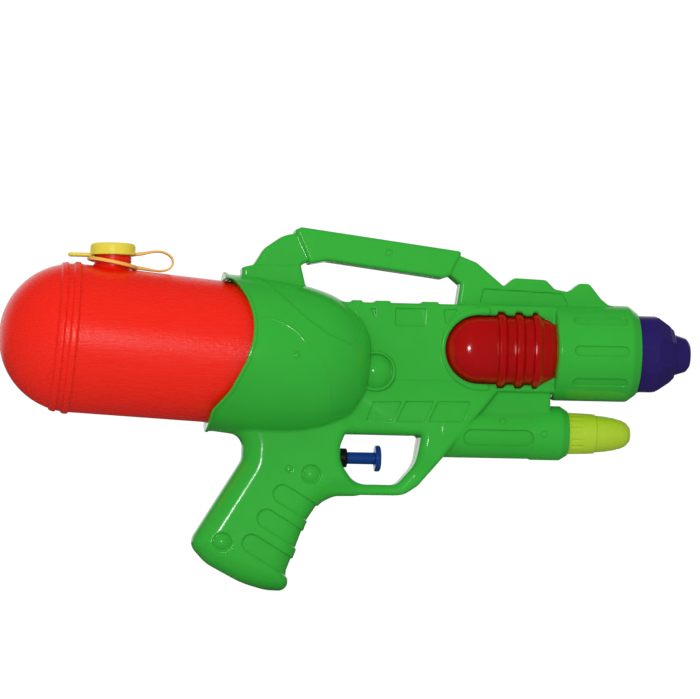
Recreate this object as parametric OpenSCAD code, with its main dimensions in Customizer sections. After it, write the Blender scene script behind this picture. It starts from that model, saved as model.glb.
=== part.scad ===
// Water squirter: two moulded half shells round a blow-moulded tank, a trigger pump and a nozzle.
// Millimetres. +X points out of the nozzle, +Z is up, and Y = 0 is the parting plane of the shells.
// The origin is the point of the grip that the hand closes round.

/* [Shells] */
// Wall of the moulded half shells
wall = 2.2; // [1.8:0.1:2.5]
// Half thickness of the body plate round the trigger and the window
body_half = 15; // [14:0.5:17]
// Half thickness of the pistol grip
grip_half = 15.5; // [14:0.5:17]
// Half thickness of the carry handle's arms and the top rail
arm_half = 9; // [8:0.5:11]
// How far the handle's sleeve stands proud of its arms
sleeve_step = 1.5; // [0.8:0.1:2.5]
// Half thickness of the web between the body plate and the lower tube
web_half = 12; // [11:0.5:14]
// Depth of the slots, flutes and panels in the shells' faces
relief = 1; // [0.6:0.1:1.2]

/* [Barrel] */
// Height of the barrel's axis above the grip point
barrel_z = 102; // [101:0.5:103]
// Outside radius of the barrel
barrel_r = 31; // [30:0.5:32]
// Rear face of the barrel
barrel_x0 = 183; // [182:0.5:184]
// Front rim of the barrel
barrel_x1 = 239; // [237:0.5:242]
// Length of the rim's chamfer
rim_chamfer = 6; // [5:0.5:8]

/* [Lower tube] */
// Height of the lower tube's axis
tube_z = 50; // [49:0.5:51]
// Outside radius of the lower tube
tube_r = 16.9; // [16.5:0.1:17.5]
// Front rim of the lower tube's collar
tube_x1 = 195; // [193:0.5:198]
// Front end of the fluted tip
tip_x1 = 236.8; // [232:0.2:240]

/* [Tank] */
// Nose-down tilt of the tank, which lets the water run to its outlet
tank_tilt = 4.2; // [3.8:0.1:4.6]
// Radius of the tank at its dome
tank_r = 47.3; // [46:0.1:48]
// Length of the tank from its dome's edge to its front shoulder
tank_l = 140; // [134:0.5:142]
// Reach of the tank's rounded nose past its shoulder
tank_nose = 27; // [25:0.5:28]
// Loss of radius from the dome to the front shoulder
tank_taper = 3; // [2.6:0.1:4]
// Wall of the tank
tank_wall = 1.6; // [1.2:0.1:2]
// Room round the tank for the cowl's wall and its clearance
cowl_gap = 2.7; // [2.6:0.1:3.2]
// Height of the two beads round the dome's edge
bead_h = 1; // [0.6:0.1:1.4]

/* [Filler] */
// Place of the filler neck along the squirter
neck_x = -99; // [-104:0.5:-94]
// Bore radius of the filler neck
neck_bore_r = 9.8; // [9:0.1:10.2]
// Wall of the filler neck
neck_wall = 1.8; // [1.4:0.1:2]
// Height of the filler neck above the top of the dome
neck_h = 10.7; // [9.6:0.1:11.1]
// How far the filler cap comes down over the neck
cap_drop = 5.7; // [4.6:0.1:6.1]
// Wall of the cap
cap_wall = 1.5; // [1.2:0.1:1.8]
// Thickness of the cap's gasket
gasket_t = 0.8; // [0.6:0.1:1]
// Thickness of the cap's tether
tether_t = 1.2; // [1:0.1:1.5]
// Width of the cap's tether
tether_w = 6; // [5:0.5:8]

/* [Pump] */
// Height of the pump's axis
pump_z = 31.5; // [31:0.1:32]
// Bore radius of the pump cylinder
pump_bore_r = 6; // [5.6:0.1:6.2]
// Wall of the pump cylinder
pump_wall = 1.6; // [1.3:0.1:1.8]
// Radius of the plunger's rod
rod_r = 3.85; // [3.4:0.05:4]
// Radius of the plunger's finger plate
plate_r = 8.3; // [7.5:0.1:9]
// Front face of the finger plate when the trigger is let go
plate_x = 75; // [74:0.2:77]
// Travel of the trigger
stroke = 13; // [10:0.5:13.5]
// Wire radius of the return spring
wire_r = 0.4; // [0.3:0.05:0.45]
// Coils of the return spring
coils = 7; // [5:1:8]

/* [Nozzle and chamber] */
// Front face of the nozzle
nozzle_x = 274.2; // [273:0.2:276]
// Radius of the nozzle's round base
nozzle_r = 25; // [24:0.1:25.5]
// Radius of the water outlet
outlet_r = 1; // [0.7:0.1:1.2]
// Radius of the red chamber
pod_r = 22.3; // [21.5:0.1:22.6]
// Height of the chamber's ribs
pod_rib = 2.2; // [1.5:0.1:2.4]
// Wall of the chamber
pod_wall = 1.8; // [1.4:0.1:2.2]

/* [Fits] */
// Clearance of parts that slide or turn in each other
slide_gap = 0.1; // [0.05:0.01:0.12]
// Clearance of parts that are trapped between the shells
trap_gap = 0.4; // [0.3:0.05:0.5]

/* [Hidden] */
$fn = 64;
eps = 0.01;
far = 400;

// Rounded edges of the plates, and the top face of the body plate.
grip_edge = 7;
body_edge = 3;
frame_top = 130.8;
// Outlines in the XZ plane: each point is [x, z, corner radius], counter-clockwise.
grip_outline = [
    [-16, 66, 4], [-39, 48, 1], [-14, 44.8, 12], [-13.5, 29, 9], [-46.6, -25, 6],
    [-32.6, -39, 30], [-4.6, -54.5, 22], [16.2, -54.5, 8], [15.8, -43, 8], [20.7, -29, 5],
    [27.2, -11, 6], [35.6, 2, 14], [46, 8, 6], [60, 8.5, 3], [60, 54, 3], [48, 66, 4]];
frame_outline = [
    [38, 7.9, 2], [88.5, 8.1, 14], [98, 14.5, 12], [148, 75.4, 1], [186, 75.4, 3],
    [186, frame_top, 3], [30, frame_top, 4], [30, 60, 4]];
trigger_outline = [
    [54, 14.8, 11], [84.5, 14.8, 8], [96.5, 28, 20], [99.8, 47, 1.5], [50.5, 47, 2],
    [47.3, 39, 8], [47.3, 24, 10]];
rear_arm_outline = [
    [-17, 138, 1], [24.5, 138, 1], [20.6, 153.7, 1], [27, 157, 1], [20, 174.5, 3], [9, 172.5, 20],
    [-3, 164, 10], [-9.5, 153.4, 3], [-17, 151.5, 1]];
sleeve_outline = [
    [26, 155.4, 1], [37, 157.8, 4], [104, 148.9, 5], [112, 147.6, 3], [117, 149.6, 1.5],
    [124.3, 164.9, 1.5], [22, 177.8, 5], [16.5, 175.6, 1]];
rail_outline = [
    [120, 120, 1], [225, 120, 2], [224, 132.5, 3], [214.5, 135.5, 4], [209, 146.4, 4],
    [199.5, 147.2, 4], [194, 139.6, 3], [187, 141, 3], [180, 148.4, 4], [158.5, 149, 4],
    [151.6, 143, 1], [134, 158.2, 10], [120, 163.5, 3], [115.5, 150.5, 2], [123.4, 143.9, 1]];
web_outline = [[130, 56, 1], [182.6, 56, 1], [182.6, 80, 1], [145, 80, 1]];
// Outer lines of the moulded panels, slots and flutes in the side faces.
body_panels = [
    [[80.7, 115.8, 1], [100.7, 115.8, 1], [100.7, 127.6, 1], [80.7, 127.6, 1]],
    [[63, 55, 1], [80, 55, 1], [85, 69, 1], [68, 69, 1]],
    [[84.5, 55, 1], [101.5, 55, 1], [106.5, 69, 1], [89.5, 69, 1]],
    [[106, 55, 1], [120, 55, 1], [130, 69, 1], [111, 69, 1]]];
flute_starts = [[7.5, 8.5], [-1.5, -8], [-10.5, -24]];
flute_run = [22, -13.5];
flute_r = 5;
slot_x = [195, 227];
slot_w = 7;
slot_angles = [-40, 0, 40];
top_bumps = [[53, 60], [68, 78], [98, 109]];
bump_h = 1.2;
// Round hub with its dome, and the raised rim behind the window.
hub_place = [70, 87.4];
hub_r = 11.7;
hub_proud = 1.2;
hub_dome_r = 8.6;
hub_dome_sunk = 4.2;
window_rim_w = 4.4;
window_rim_ahead = 1;
window_rim_x1 = 142;
// Inner ends of the barrel's rim and of the lower tube.
rim_lip = 1.6;
tube_x0 = 112;
tube_chamfer = 5;
tube_lip = 1;
collar_x0 = 171;
collar_r = tube_r + 0.6;
// Ribs inside the shells that stop and carry the pump, nozzle and tip.
rib_w = 2;
saddle_places = [14, 36];
saddle_rise = 3;

// Screw places in the XZ plane, and the seat of each head above the parting plane.
screw_places = [[-23, -24.5], [29, 18], hub_place, [76, 162], [8, 162], [131, 141], [109, 38], [207, 79.5]];
screw_seat = 5;
screw_r = 1.5;
screw_head_r = 2.9;
screw_head_h = 2;
screw_depth = 8;
recess_l = 3.4;
recess_w = 0.8;
boss_wall = 1.6;

// Tank: the height of its belly, the centre of its dome, and stations along its axis from there.
belly_z = 57.3;
dome_x = -122.9;
dome_z = belly_z + tank_r;
bead_w = 5.5;
bead_sunk = 0.3;
bead_places = [-9.6, -1.6];
groove_from_shoulder = 24;
groove_at = tank_l - groove_from_shoulder;
groove_w = 4;
groove_d = 2;
groove_rib_z = 57;
// Cowl round the tank: where it starts along the tank's axis, and its swelling front.
cowl_r = tank_r + cowl_gap;
cowl_rim = 1;
cowl_skirt = 20;
cowl_origin = 95.2;
cowl_start = 15;
cowl_front_gap = 23.7;
cowl_reach = tank_l + tank_nose + cowl_front_gap - cowl_origin - cowl_start;
cowl_power = 2.6;
cowl_steps = 14;
// The cowl's swept rear edge: a round notch and the outline that it runs into.
cowl_notch = [-58, 112];
cowl_notch_r = 46;
cowl_rear_outline = [[-21, 85], [-40, 112], [-28, 147], [-28, 200], [-200, 200], [-200, 20], [-39.5, 20],
                     [-39.5, 49], [-37, 61]];

// Filler neck, cap and tether.
neck_r = neck_bore_r + neck_wall;
neck_top = dome_z + tank_r + neck_h;
neck_bead = 0.5;
neck_bead_w = 1.4;
neck_bead_drop = 2.6;
cap_foot = neck_top - cap_drop;
cap_in_r = neck_r + 1.3;
cap_r = cap_in_r + cap_wall;
cap_roof = neck_top + gasket_t + 0.1;
cap_top = cap_roof + cap_wall + 0.2;
cap_edge = 1;
cap_lip = 0.6;
cap_lip_h = 1.5;
gasket_gap = 0.2;
tab_l = 13;
tab_w = 8;
ring_in_r = neck_r + neck_bead + 1.2;
ring_r = ring_in_r + 3.1;
ring_drop = 5;
ring_z = cap_foot - ring_drop;
ring_lean = 8;
ring_t = 1.7;
// Points of the tether from the cap's edge round its loop to the ring, from the cap's axis and foot.
tether_route = [[15.4, 0.7], [20, 2], [26, 3.5], [32, 3.3], [36.8, 0.7], [38.4, -3.3],
                [36.4, -7], [31.6, -8.7], [25.6, -8.4], [20, -7.6], [14.6, -6.9]];

// Pump stations along X, from the inlet valve to the gland.
inlet_x = 0;
inlet_r = 6.5;
inlet_seat_x = 3.5;
inlet_seat_r = 1.6;
inlet_ball_r = 2.6;
inlet_lift = 1.2;
pump_x0 = 11;
pump_head = 2.5;
pump_x1 = 43;
pump_r = pump_bore_r + pump_wall;
gland_x1 = 52.9;
gland_collar = 2;
gland_plug = 3;
gland_r = rod_r + slide_gap + 2.2;
spigot_r = 4;
spigot_bore_r = 2.4;
spigot_gap = 1.5;
inlet_spigot_l = 5;
tank_spigot_z = pump_z + inlet_r + inlet_spigot_l + spigot_gap + 0.5;
tank_spigot_l = 20;
suction_wall = 1.2;
suction_gap = 0.6;
suction_hold = 4.7;
ball_gap = 0.6;
seat_gap = 0.1;
cross_w = 1.6;
port_r = 3.4;
piston_l = 6.5;
piston_x1 = pump_x1 - gland_plug - 0.5;
piston_r = pump_bore_r - 0.4;
seal_x = piston_x1 - piston_l / 2;
seal_wire_r = 0.75;
seal_r = pump_bore_r - slide_gap / 2 - seal_wire_r;
plate_t = 3;
plate_edge = 0.8;
spring_r = pump_bore_r - 1.5;
outlet_x = 17;
outlet_z = pump_z + pump_r + 4.8;
outlet_body_r = 4.2;
outlet_body_x0 = 12.5;
outlet_body_x1 = 30;
outlet_seat_x = 20;
outlet_seat_r = 1.5;
outlet_ball_r = 2.1;
outlet_lift = 1.5;
// Hoses and the barbs that they are pushed on.
barb_r = 2;
barb_l = 8;
barb_bore_r = 1.2;
hose_in_r = 2.2;
hose_r = 3;
hose_sides = 12;
nozzle_barb_x = 224;
// Points of the delivery hose from the outlet valve to the nozzle, in the XZ plane.
hose_route = [[outlet_body_x1 + 1, outlet_z], [outlet_body_x1 + barb_l, outlet_z],
              [42, 46], [45.5, 50], [49.5, 53.6], [55, 55.8], [62, 57.6], [74, 60],
              [90, 62.8], [108, 66], [122, 68.6], [134, 70.4], [148, 72.4], [158, 73.4], [168, 74],
              [174, 74.5], [180, 76.1], [186, 79], [192.5, 84.5], [nozzle_barb_x - 25, barrel_z - 10.5],
              [nozzle_barb_x - 18, barrel_z - 4], [nozzle_barb_x - 11, barrel_z - 0.5],
              [nozzle_barb_x - 3, barrel_z], [nozzle_barb_x + barb_l - 1, barrel_z]];
// Where it goes through the walls inside the shells, and the room that it has there.
hose_ways = [[[134, 70.4], [148, 72.4]], [[174, 74.2], [188, 80]]];
hose_gap = 0.7;

// Nozzle and chamber stations.
nozzle_flange_r = 27.4;
nozzle_flange = [230, 232.5];
nozzle_flat_r = nozzle_r - 0.6;
nozzle_tiers = [[241, nozzle_flat_r], [250, nozzle_flat_r], [259, 18], [263.8, 14]];
nozzle_snout = [[261.5, 13.6], [271.6, 10.6], [nozzle_x, 8]];
nozzle_in_r = nozzle_r - 2.6;
nozzle_pocket = [246, 258];
nozzle_pocket_r = 12;
nozzle_stem_r = barb_r + 1.6;
outlet_l = 7;
outlet_recess = 2;
outlet_recess_r = 4;
pod_x0 = 136.2;
pod_x1 = 181.6;
pod_z = 102.5;
pod_rib_w = 5.2;
pod_rib_places = [149.4, 160.8, 172.2];
// Fluted tip stations.
tip_r = 13.35;
tip_flange_r = 14.8;
tip_flange = [186.8, 189.2];
tip_flutes = 18;
tip_wall = 2.4;
tip_flute_r = 1.1;
tip_flute_l = 8;
tip_flute_from = 1.5;
tip_bore = [210, 224];
tip_bore_end_r = 7;
tip_profile = [[209, 12.9], [212.8, 12.6], [213, 11.9], [219, 11.4], [225.2, 10.4], [230.4, 9], [233.4, 7.4],
               [235.8, 4.6]];

function unit(v) = v / norm(v);
function xz(p) = [p[0], p[1]];
function left_of(v) = [-v[1], v[0]];
function turns_left(a, b, c) = (xz(b) - xz(a)) * left_of(xz(c) - xz(b)) < 0;
// An outline moved inwards, with each corner's radius to suit.
function shrunk(points, d) =
    let (n = len(points))
    [for (i = [0 : n - 1])
        let (a = points[(i + n - 1) % n], b = points[i], c = points[(i + 1) % n],
             m = left_of(unit(xz(b) - xz(a))), k = left_of(unit(xz(c) - xz(b))),
             p = xz(b) + d * (m + k) / (1 + m * k),
             r = turns_left(a, b, c) ? max(b[2] - d, 0.3) : max(b[2] + d, 0.3))
        [p[0], p[1], r]];
// The arc, in a few steps, that rounds corner b between a and c.
function corner(a, b, c, steps) =
    let (u = unit(xz(a) - xz(b)), v = unit(xz(c) - xz(b)),
         half = acos(max(-1, min(1, u * v))) / 2,
         room = min(norm(xz(a) - xz(b)), norm(xz(c) - xz(b))) * 0.49,
         r = min(b[2], room * tan(half)),
         centre = xz(b) + unit(u + v) * r / sin(half),
         start = xz(b) + u * r / tan(half) - centre,
         sweep = (turns_left(a, b, c) ? 1 : -1) * (180 - 2 * half))
    [for (i = [0 : steps])
        let (t = sweep * i / steps)
        centre + [start[0] * cos(t) - start[1] * sin(t), start[0] * sin(t) + start[1] * cos(t)]];
function rounded(points, steps = 5) =
    let (n = len(points))
    [for (i = [0 : n - 1]) each corner(points[(i + n - 1) % n], points[i], points[(i + 1) % n], steps)];
// Cardinal spline through points, with a few steps a span.
function smooth(p, steps) =
    let (last = len(p) - 2)
    [for (i = [0 : last], s = [0 : steps - (i == last ? 0 : 1)])
        let (t = s / steps, a = p[max(i - 1, 0)], b = p[i], c = p[i + 1], d = p[min(i + 2, last + 1)],
             bend = 2 * a - 5 * b + 4 * c - d, twist = 3 * b - a - 3 * c + d)
        (2 * b + (c - a) * t + bend * t * t + twist * t * t * t) / 2];
// Triangles between rings of n points each, closed by a cap at both ends.
function ring_faces(rings, n) = concat(
    [[for (i = [n - 1 : -1 : 0]) i]],
    [for (k = [0 : rings - 2], i = [0 : n - 1]) each
        [[k * n + i, k * n + (i + 1) % n, (k + 1) * n + i],
         [k * n + (i + 1) % n, (k + 1) * n + (i + 1) % n, (k + 1) * n + i]]],
    [[for (i = [0 : n - 1]) (rings - 1) * n + i]]);

// Right half of a plate whose edge is rounded off in steps, from the parting plane to -Y.
module soft_plate(outline, half, edge, steps = 1, arc = 3) {
    for (i = [0 : steps])
        let (a = 90 * i / steps)
        prism(rounded(shrunk(outline, edge * (1 - cos(a))), arc), -half + edge * (1 - sin(a)), 0);
}
// A straight prism of an outline between two Y planes.
module prism(points, y0 = -far, y1 = far) {
    translate([0, y1, 0]) rotate([90, 0, 0]) linear_extrude(y1 - y0) polygon([for (p = points) xz(p)]);
}
module along_x(x, z) { translate([x, 0, z]) rotate([0, 90, 0]) children(); }
module towards_left(p, y) { translate([p[0], y, p[1]]) rotate([-90, 0, 0]) children(); }
module on_tank_axis(at = 0) {
    translate([dome_x, 0, dome_z]) rotate([0, 90 + tank_tilt, 0]) translate([0, 0, at]) children();
}
module right_side() { translate([-far, -far, -far]) cube([2 * far, far, 2 * far]); }
// A round tube between two radii along X.
module sleeve_x(x0, x1, z, r_in, r_out) {
    along_x(x0, z) difference() {
        cylinder(h = x1 - x0, r = r_out);
        translate([0, 0, -1]) cylinder(h = x1 - x0 + 2, r = r_in);
    }
}
// A hose with its bore, swept along points in the XZ plane: out along its skin and back along its bore.
module swept_hose(route, r_out, r_in, sides) {
    n = len(route);
    ups = [for (i = [0 : n - 1]) left_of(unit(route[min(i + 1, n - 1)] - route[max(i - 1, 0)]))];
    order = concat([for (i = [0 : n - 1]) [i, r_out]], [for (i = [n - 1 : -1 : 0]) [i, r_in]]);
    points = [for (ring = order, k = [0 : sides - 1])
        let (a = 360 * k / sides, p = route[ring[0]] + ups[ring[0]] * ring[1] * cos(a))
        [p[0], ring[1] * sin(a), p[1]]];
    polyhedron(points, [for (j = [0 : 2 * n - 1], k = [0 : sides - 1]) each
        let (here = j * sides, there = (j + 1) % (2 * n) * sides, next = (k + 1) % sides)
        [[here + k, here + next, there + k], [here + next, there + next, there + k]]]);
}

// Masses that the half shells are filled out to, each less a thickness all round.
function cowl_share(part) = pow(1 - pow(part, cowl_power), 1 / cowl_power);
module cowl_mass(t) {
    reach = cowl_reach - t;
    profile = concat([[0, -cowl_skirt], [cowl_r + cowl_rim - t, -cowl_skirt]],
                     [for (i = [0 : cowl_steps - 1])
                         let (part = sin(90 * i / cowl_steps))
                         [(cowl_r - t) * cowl_share(part), cowl_start + reach * part]],
                     [[0, cowl_start + reach]]);
    on_tank_axis(cowl_origin) rotate_extrude() polygon(profile);
}
module barrel_mass(t) {
    shoulder_x = barrel_x1 - rim_chamfer;
    along_x(barrel_x0 + t, barrel_z) cylinder(h = shoulder_x - barrel_x0 - 1.5 * t, r = barrel_r - t);
    along_x(shoulder_x - t / 2 - eps, barrel_z)
        cylinder(h = rim_chamfer - t / 2, r1 = barrel_r - t, r2 = nozzle_r + rim_lip - t);
}
module tube_mass(t) {
    shoulder_x = tube_x1 - tube_chamfer;
    along_x(tube_x0 + t, tube_z) cylinder(h = collar_x0 + 2 * wall - tube_x0 - t, r = tube_r - t);
    along_x(collar_x0 + t, tube_z) cylinder(h = shoulder_x - collar_x0 - 1.5 * t, r = collar_r - t);
    along_x(shoulder_x - t / 2 - eps, tube_z)
        cylinder(h = tube_chamfer - t / 2, r1 = collar_r - t, r2 = tip_r + tube_lip - t);
}
module round_masses(t) { cowl_mass(t); barrel_mass(t); tube_mass(t); }
module plate_masses(t) {
    soft_plate(shrunk(grip_outline, t), grip_half - t, grip_edge - t, 2);
    soft_plate(shrunk(frame_outline, t), body_half - t, body_edge - t);
    soft_plate(shrunk(web_outline, t), web_half - t, body_edge - t, 1, 1);
    prism(rounded(shrunk(rear_arm_outline, t), 3), t - arm_half, 0);
    prism(rounded(shrunk(sleeve_outline, t), 3), t - arm_half - sleeve_step, 0);
    prism(rounded(shrunk(rail_outline, t), 3), t - arm_half, 0);
}
module side_mass(t) {
    plate_masses(t);
    intersection() { round_masses(t); right_side(); }
}
// The space behind the cowl's swept rear edge.
module cowl_cut() {
    towards_left(cowl_notch, -far) cylinder(h = 2 * far, r = cowl_notch_r);
    prism(cowl_rear_outline);
}
// The chamber seen from the side, grown by a clearance.
module chamber_view(gap, y0, y1) {
    translate([0, y1, 0]) rotate([90, 0, 0]) linear_extrude(y1 - y0) {
        translate([pod_x0, pod_z]) circle(r = pod_r + gap);
        translate([pod_x0, pod_z - pod_r - gap]) square([pod_x1 - pod_x0 + gap, 2 * (pod_r + gap)]);
        for (x = pod_rib_places)
            translate([x - pod_rib_w / 2 - gap, pod_z - pod_r - pod_rib - gap])
                square([pod_rib_w + 2 * gap, 2 * (pod_r + pod_rib + gap)]);
    }
}
module slot(angle) {
    translate([0, 0, barrel_z]) rotate([angle, 0, 0]) translate([0, relief - barrel_r, 0])
        rotate([90, 0, 0]) linear_extrude(wall) {
            for (x = slot_x) translate([x, 0]) circle(d = slot_w);
            translate([slot_x[0], -slot_w / 2]) square([slot_x[1] - slot_x[0], slot_w]);
        }
}
module flute(start) {
    translate([start[0], relief - grip_half, start[1]]) rotate([90, 0, 0]) linear_extrude(far) {
        circle(r = flute_r);
        translate(flute_run) circle(r = flute_r);
        rotate(atan2(flute_run[1], flute_run[0]))
            translate([0, -flute_r]) square([norm(flute_run), 2 * flute_r]);
    }
}
module outside_relief() {
    for (points = body_panels) prism(rounded(points, 2), -far, relief - body_half);
    for (start = flute_starts) flute(start);
    for (angle = slot_angles) slot(angle);
}
module hub() {
    towards_left(hub_place, -body_half - hub_proud) cylinder(h = hub_proud + wall, r = hub_r);
    towards_left(hub_place, hub_dome_sunk - body_half) sphere(r = hub_dome_r);
}
module window_rim() {
    intersection() {
        towards_left([pod_x0 + window_rim_ahead, pod_z], -body_half - hub_proud)
            cylinder(h = wall + hub_proud, r = pod_r + window_rim_w);
        translate([0, -far, 0]) cube([window_rim_x1, far, far]);
    }
}
module bumps() {
    for (b = top_bumps)
        translate([b[0], -arm_half, frame_top - wall]) cube([b[1] - b[0], arm_half, wall + bump_h]);
}
// What the cavity leaves standing: walls of the trigger hole and the window, ribs and saddles.
module inside_walls() {
    prism(rounded(shrunk(trigger_outline, -wall)), -far, 0);
    chamber_view(trap_gap + wall, -far, -hose_r - hose_gap);
    intersection() {
        on_tank_axis(groove_at + trap_gap) difference() {
            cylinder(h = groove_w - 2 * trap_gap, r = cowl_r + cowl_rim);
            translate([0, 0, -1]) cylinder(h = groove_w + 2, r = tank_at(groove_at) - groove_d + trap_gap);
        }
        translate([cowl_notch[0], -far, groove_rib_z]) cube([far, far, far]);
    }
    for (x = saddle_places) difference() {
        translate([x, -far, pump_z - pump_r - rib_w]) cube([rib_w, far, pump_r + rib_w + saddle_rise]);
        along_x(x - rib_w, pump_z) cylinder(h = 3 * rib_w, r = pump_r + trap_gap / 2);
    }
    for (x = [nozzle_flange[0] - trap_gap]) sleeve_x(x - rib_w, x, barrel_z, nozzle_r - rib_w, barrel_r);
    for (x = [tip_flange[0] - trap_gap]) sleeve_x(x - rib_w, x, tube_z, tip_r - 1.5 * rib_w, tube_r);
}
// Ways through the shells for what comes out of them.
module shell_ways() {
    cowl_cut();
    prism(rounded(trigger_outline));
    chamber_view(trap_gap, -far, far);
    along_x(barrel_x1 - rim_chamfer - wall, barrel_z) cylinder(h = far, r = nozzle_r + trap_gap);
    along_x(tube_x1 - tube_chamfer - wall, tube_z) cylinder(h = far, r = tip_r + trap_gap / 2);
    along_x(pump_x1 - wall, pump_z) cylinder(h = gland_x1 - pump_x1 + 2 * wall, r = gland_r + trap_gap / 2);
    for (way = hose_ways) hose_way(way[0], way[1]);
}
// A straight way for the delivery hose through inner walls, from p to q in the XZ plane.
module hose_way(p, q) {
    along_x(p[0], p[1]) rotate([0, -atan2(q[1] - p[1], q[0] - p[0]), 0])
        cylinder(h = norm(q - p), r = hose_r + hose_gap);
}
// A right half shell, before its screw bosses.
module half_shell() {
    difference() {
        union() { side_mass(0); hub(); window_rim(); bumps(); }
        outside_relief();
        difference() { side_mass(wall); inside_walls(); }
        shell_ways();
        translate([-far, 0, -far]) cube([2 * far, far, 2 * far]);
    }
}
module boss(place, r) {
    intersection() {
        towards_left(place, -far) cylinder(h = far, r = r);
        side_mass(wall / 2);
    }
}
module right_shell() {
    color("limegreen") difference() {
        union() { half_shell(); for (p = screw_places) boss(p, screw_r + slide_gap + boss_wall); }
        for (p = screw_places)
            towards_left(p, -screw_depth - 1) cylinder(h = screw_depth + 2, r = screw_r + slide_gap);
    }
}
module left_shell() {
    color("limegreen") mirror([0, 1, 0]) difference() {
        union() { half_shell(); for (p = screw_places) boss(p, screw_head_r + trap_gap + boss_wall); }
        for (p = screw_places) {
            towards_left(p, -screw_seat - 1) cylinder(h = screw_seat + 2, r = screw_r + slide_gap);
            towards_left(p, -far) cylinder(h = far - screw_seat, r = screw_head_r + trap_gap);
        }
    }
}
module shell_screws() {
    color("silver") for (p = screw_places) {
        towards_left(p, -screw_depth) cylinder(h = screw_depth + screw_seat + eps, r = screw_r);
        towards_left(p, screw_seat) difference() {
            cylinder(h = screw_head_h, r = screw_head_r);
            for (a = [0, 90]) rotate(a)
                translate([-recess_l / 2, -recess_w / 2, screw_head_h / 2])
                    cube([recess_l, recess_w, screw_head_h]);
        }
    }
}

// Tank and filler
function tank_at(a) = tank_r - tank_taper * a / tank_l;
function tank_profile(t) =
    let (steps = 12, groove_end = groove_at + groove_w, floor_r = tank_at(groove_at) - groove_d - t,
         shoulder_r = tank_at(tank_l) - t, nose = tank_nose - t)
    concat([for (i = [0 : steps]) (tank_r - t) * [sin(90 * i / steps), -cos(90 * i / steps)]],
           [[tank_at(groove_at) - t, groove_at - t], [floor_r, groove_at - t],
            [floor_r, groove_end + t], [tank_at(groove_end) - t, groove_end + t]],
           [for (i = [0 : steps]) [shoulder_r * cos(90 * i / steps), tank_l + nose * sin(90 * i / steps)]]);
module tank_bead(at) {
    r = tank_r - (at < 0 ? at * at / tank_r / 2 : 0);
    root = r - 2 * tank_wall;
    on_tank_axis(at - bead_w / 2) rotate_extrude()
        polygon([[root, 0], [r - bead_sunk, 0], [r + bead_h, bead_w * 0.3], [r + bead_h, bead_w * 0.7],
                 [r - bead_sunk, bead_w], [root, bead_w]]);
}
module tank() {
    color("orangered") difference() {
        union() {
            on_tank_axis() rotate_extrude() polygon(tank_profile(0));
            for (at = bead_places) tank_bead(at);
            translate([neck_x, 0, dome_z]) cylinder(h = neck_top - dome_z, r = neck_r);
            translate([neck_x, 0, neck_top - neck_bead_drop])
                cylinder(h = neck_bead_w, r = neck_r + neck_bead);
            translate([inlet_x, 0, tank_spigot_z]) cylinder(h = tank_spigot_l, r = spigot_r);
        }
        on_tank_axis() rotate_extrude() polygon(tank_profile(tank_wall));
        translate([neck_x, 0, dome_z]) cylinder(h = far, r = neck_bore_r);
        translate([inlet_x, 0, 0]) cylinder(h = tank_spigot_z + tank_spigot_l + 1, r = spigot_bore_r);
    }
}
module filler_cap() {
    color("gold") translate([neck_x, 0, 0]) difference() {
        union() {
            translate([0, 0, cap_foot]) cylinder(h = cap_top - cap_edge - cap_foot, r = cap_r);
            translate([0, 0, cap_top - cap_edge - eps])
                cylinder(h = cap_edge, r1 = cap_r, r2 = cap_r - cap_edge);
            translate([0, 0, cap_foot]) cylinder(h = cap_lip_h, r = cap_r + cap_lip);
            translate([-cap_r - tab_l, -tab_w / 2, cap_foot]) cube([tab_l + 2, tab_w, cap_lip_h]);
            translate([-cap_r - tab_l, 0, cap_foot]) cylinder(h = cap_lip_h, d = tab_w);
        }
        translate([0, 0, cap_foot - 1]) cylinder(h = cap_roof - cap_foot + 1, r = cap_in_r);
    }
}
module cap_gasket() {
    color("whitesmoke") translate([neck_x, 0, cap_roof - gasket_t]) difference() {
        cylinder(h = gasket_t - eps, r = cap_in_r - gasket_gap);
        translate([0, 0, -1]) cylinder(h = gasket_t + 2, r = neck_bore_r + gasket_gap);
    }
}
module tether_ring(h, r) {
    translate([neck_x, 0, ring_z]) rotate([0, ring_lean, 0]) cylinder(h = h, r = r, center = true);
}
module cap_tether() {
    path = [for (p = smooth(tether_route, 4)) p + [neck_x, cap_foot]];
    last = len(path) - 1;
    normals = [for (i = [0 : last]) left_of(unit(path[min(i + 1, last)] - path[max(i - 1, 0)]))];
    edge = concat([for (i = [0 : last]) path[i] + normals[i] * tether_t / 2],
                  [for (i = [last : -1 : 0]) path[i] - normals[i] * tether_t / 2]);
    color("gold") difference() {
        union() {
            prism(edge, -tether_w / 2, tether_w / 2);
            tether_ring(ring_t, ring_r);
        }
        tether_ring(cap_foot - ring_z, ring_in_r);
    }
}

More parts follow.
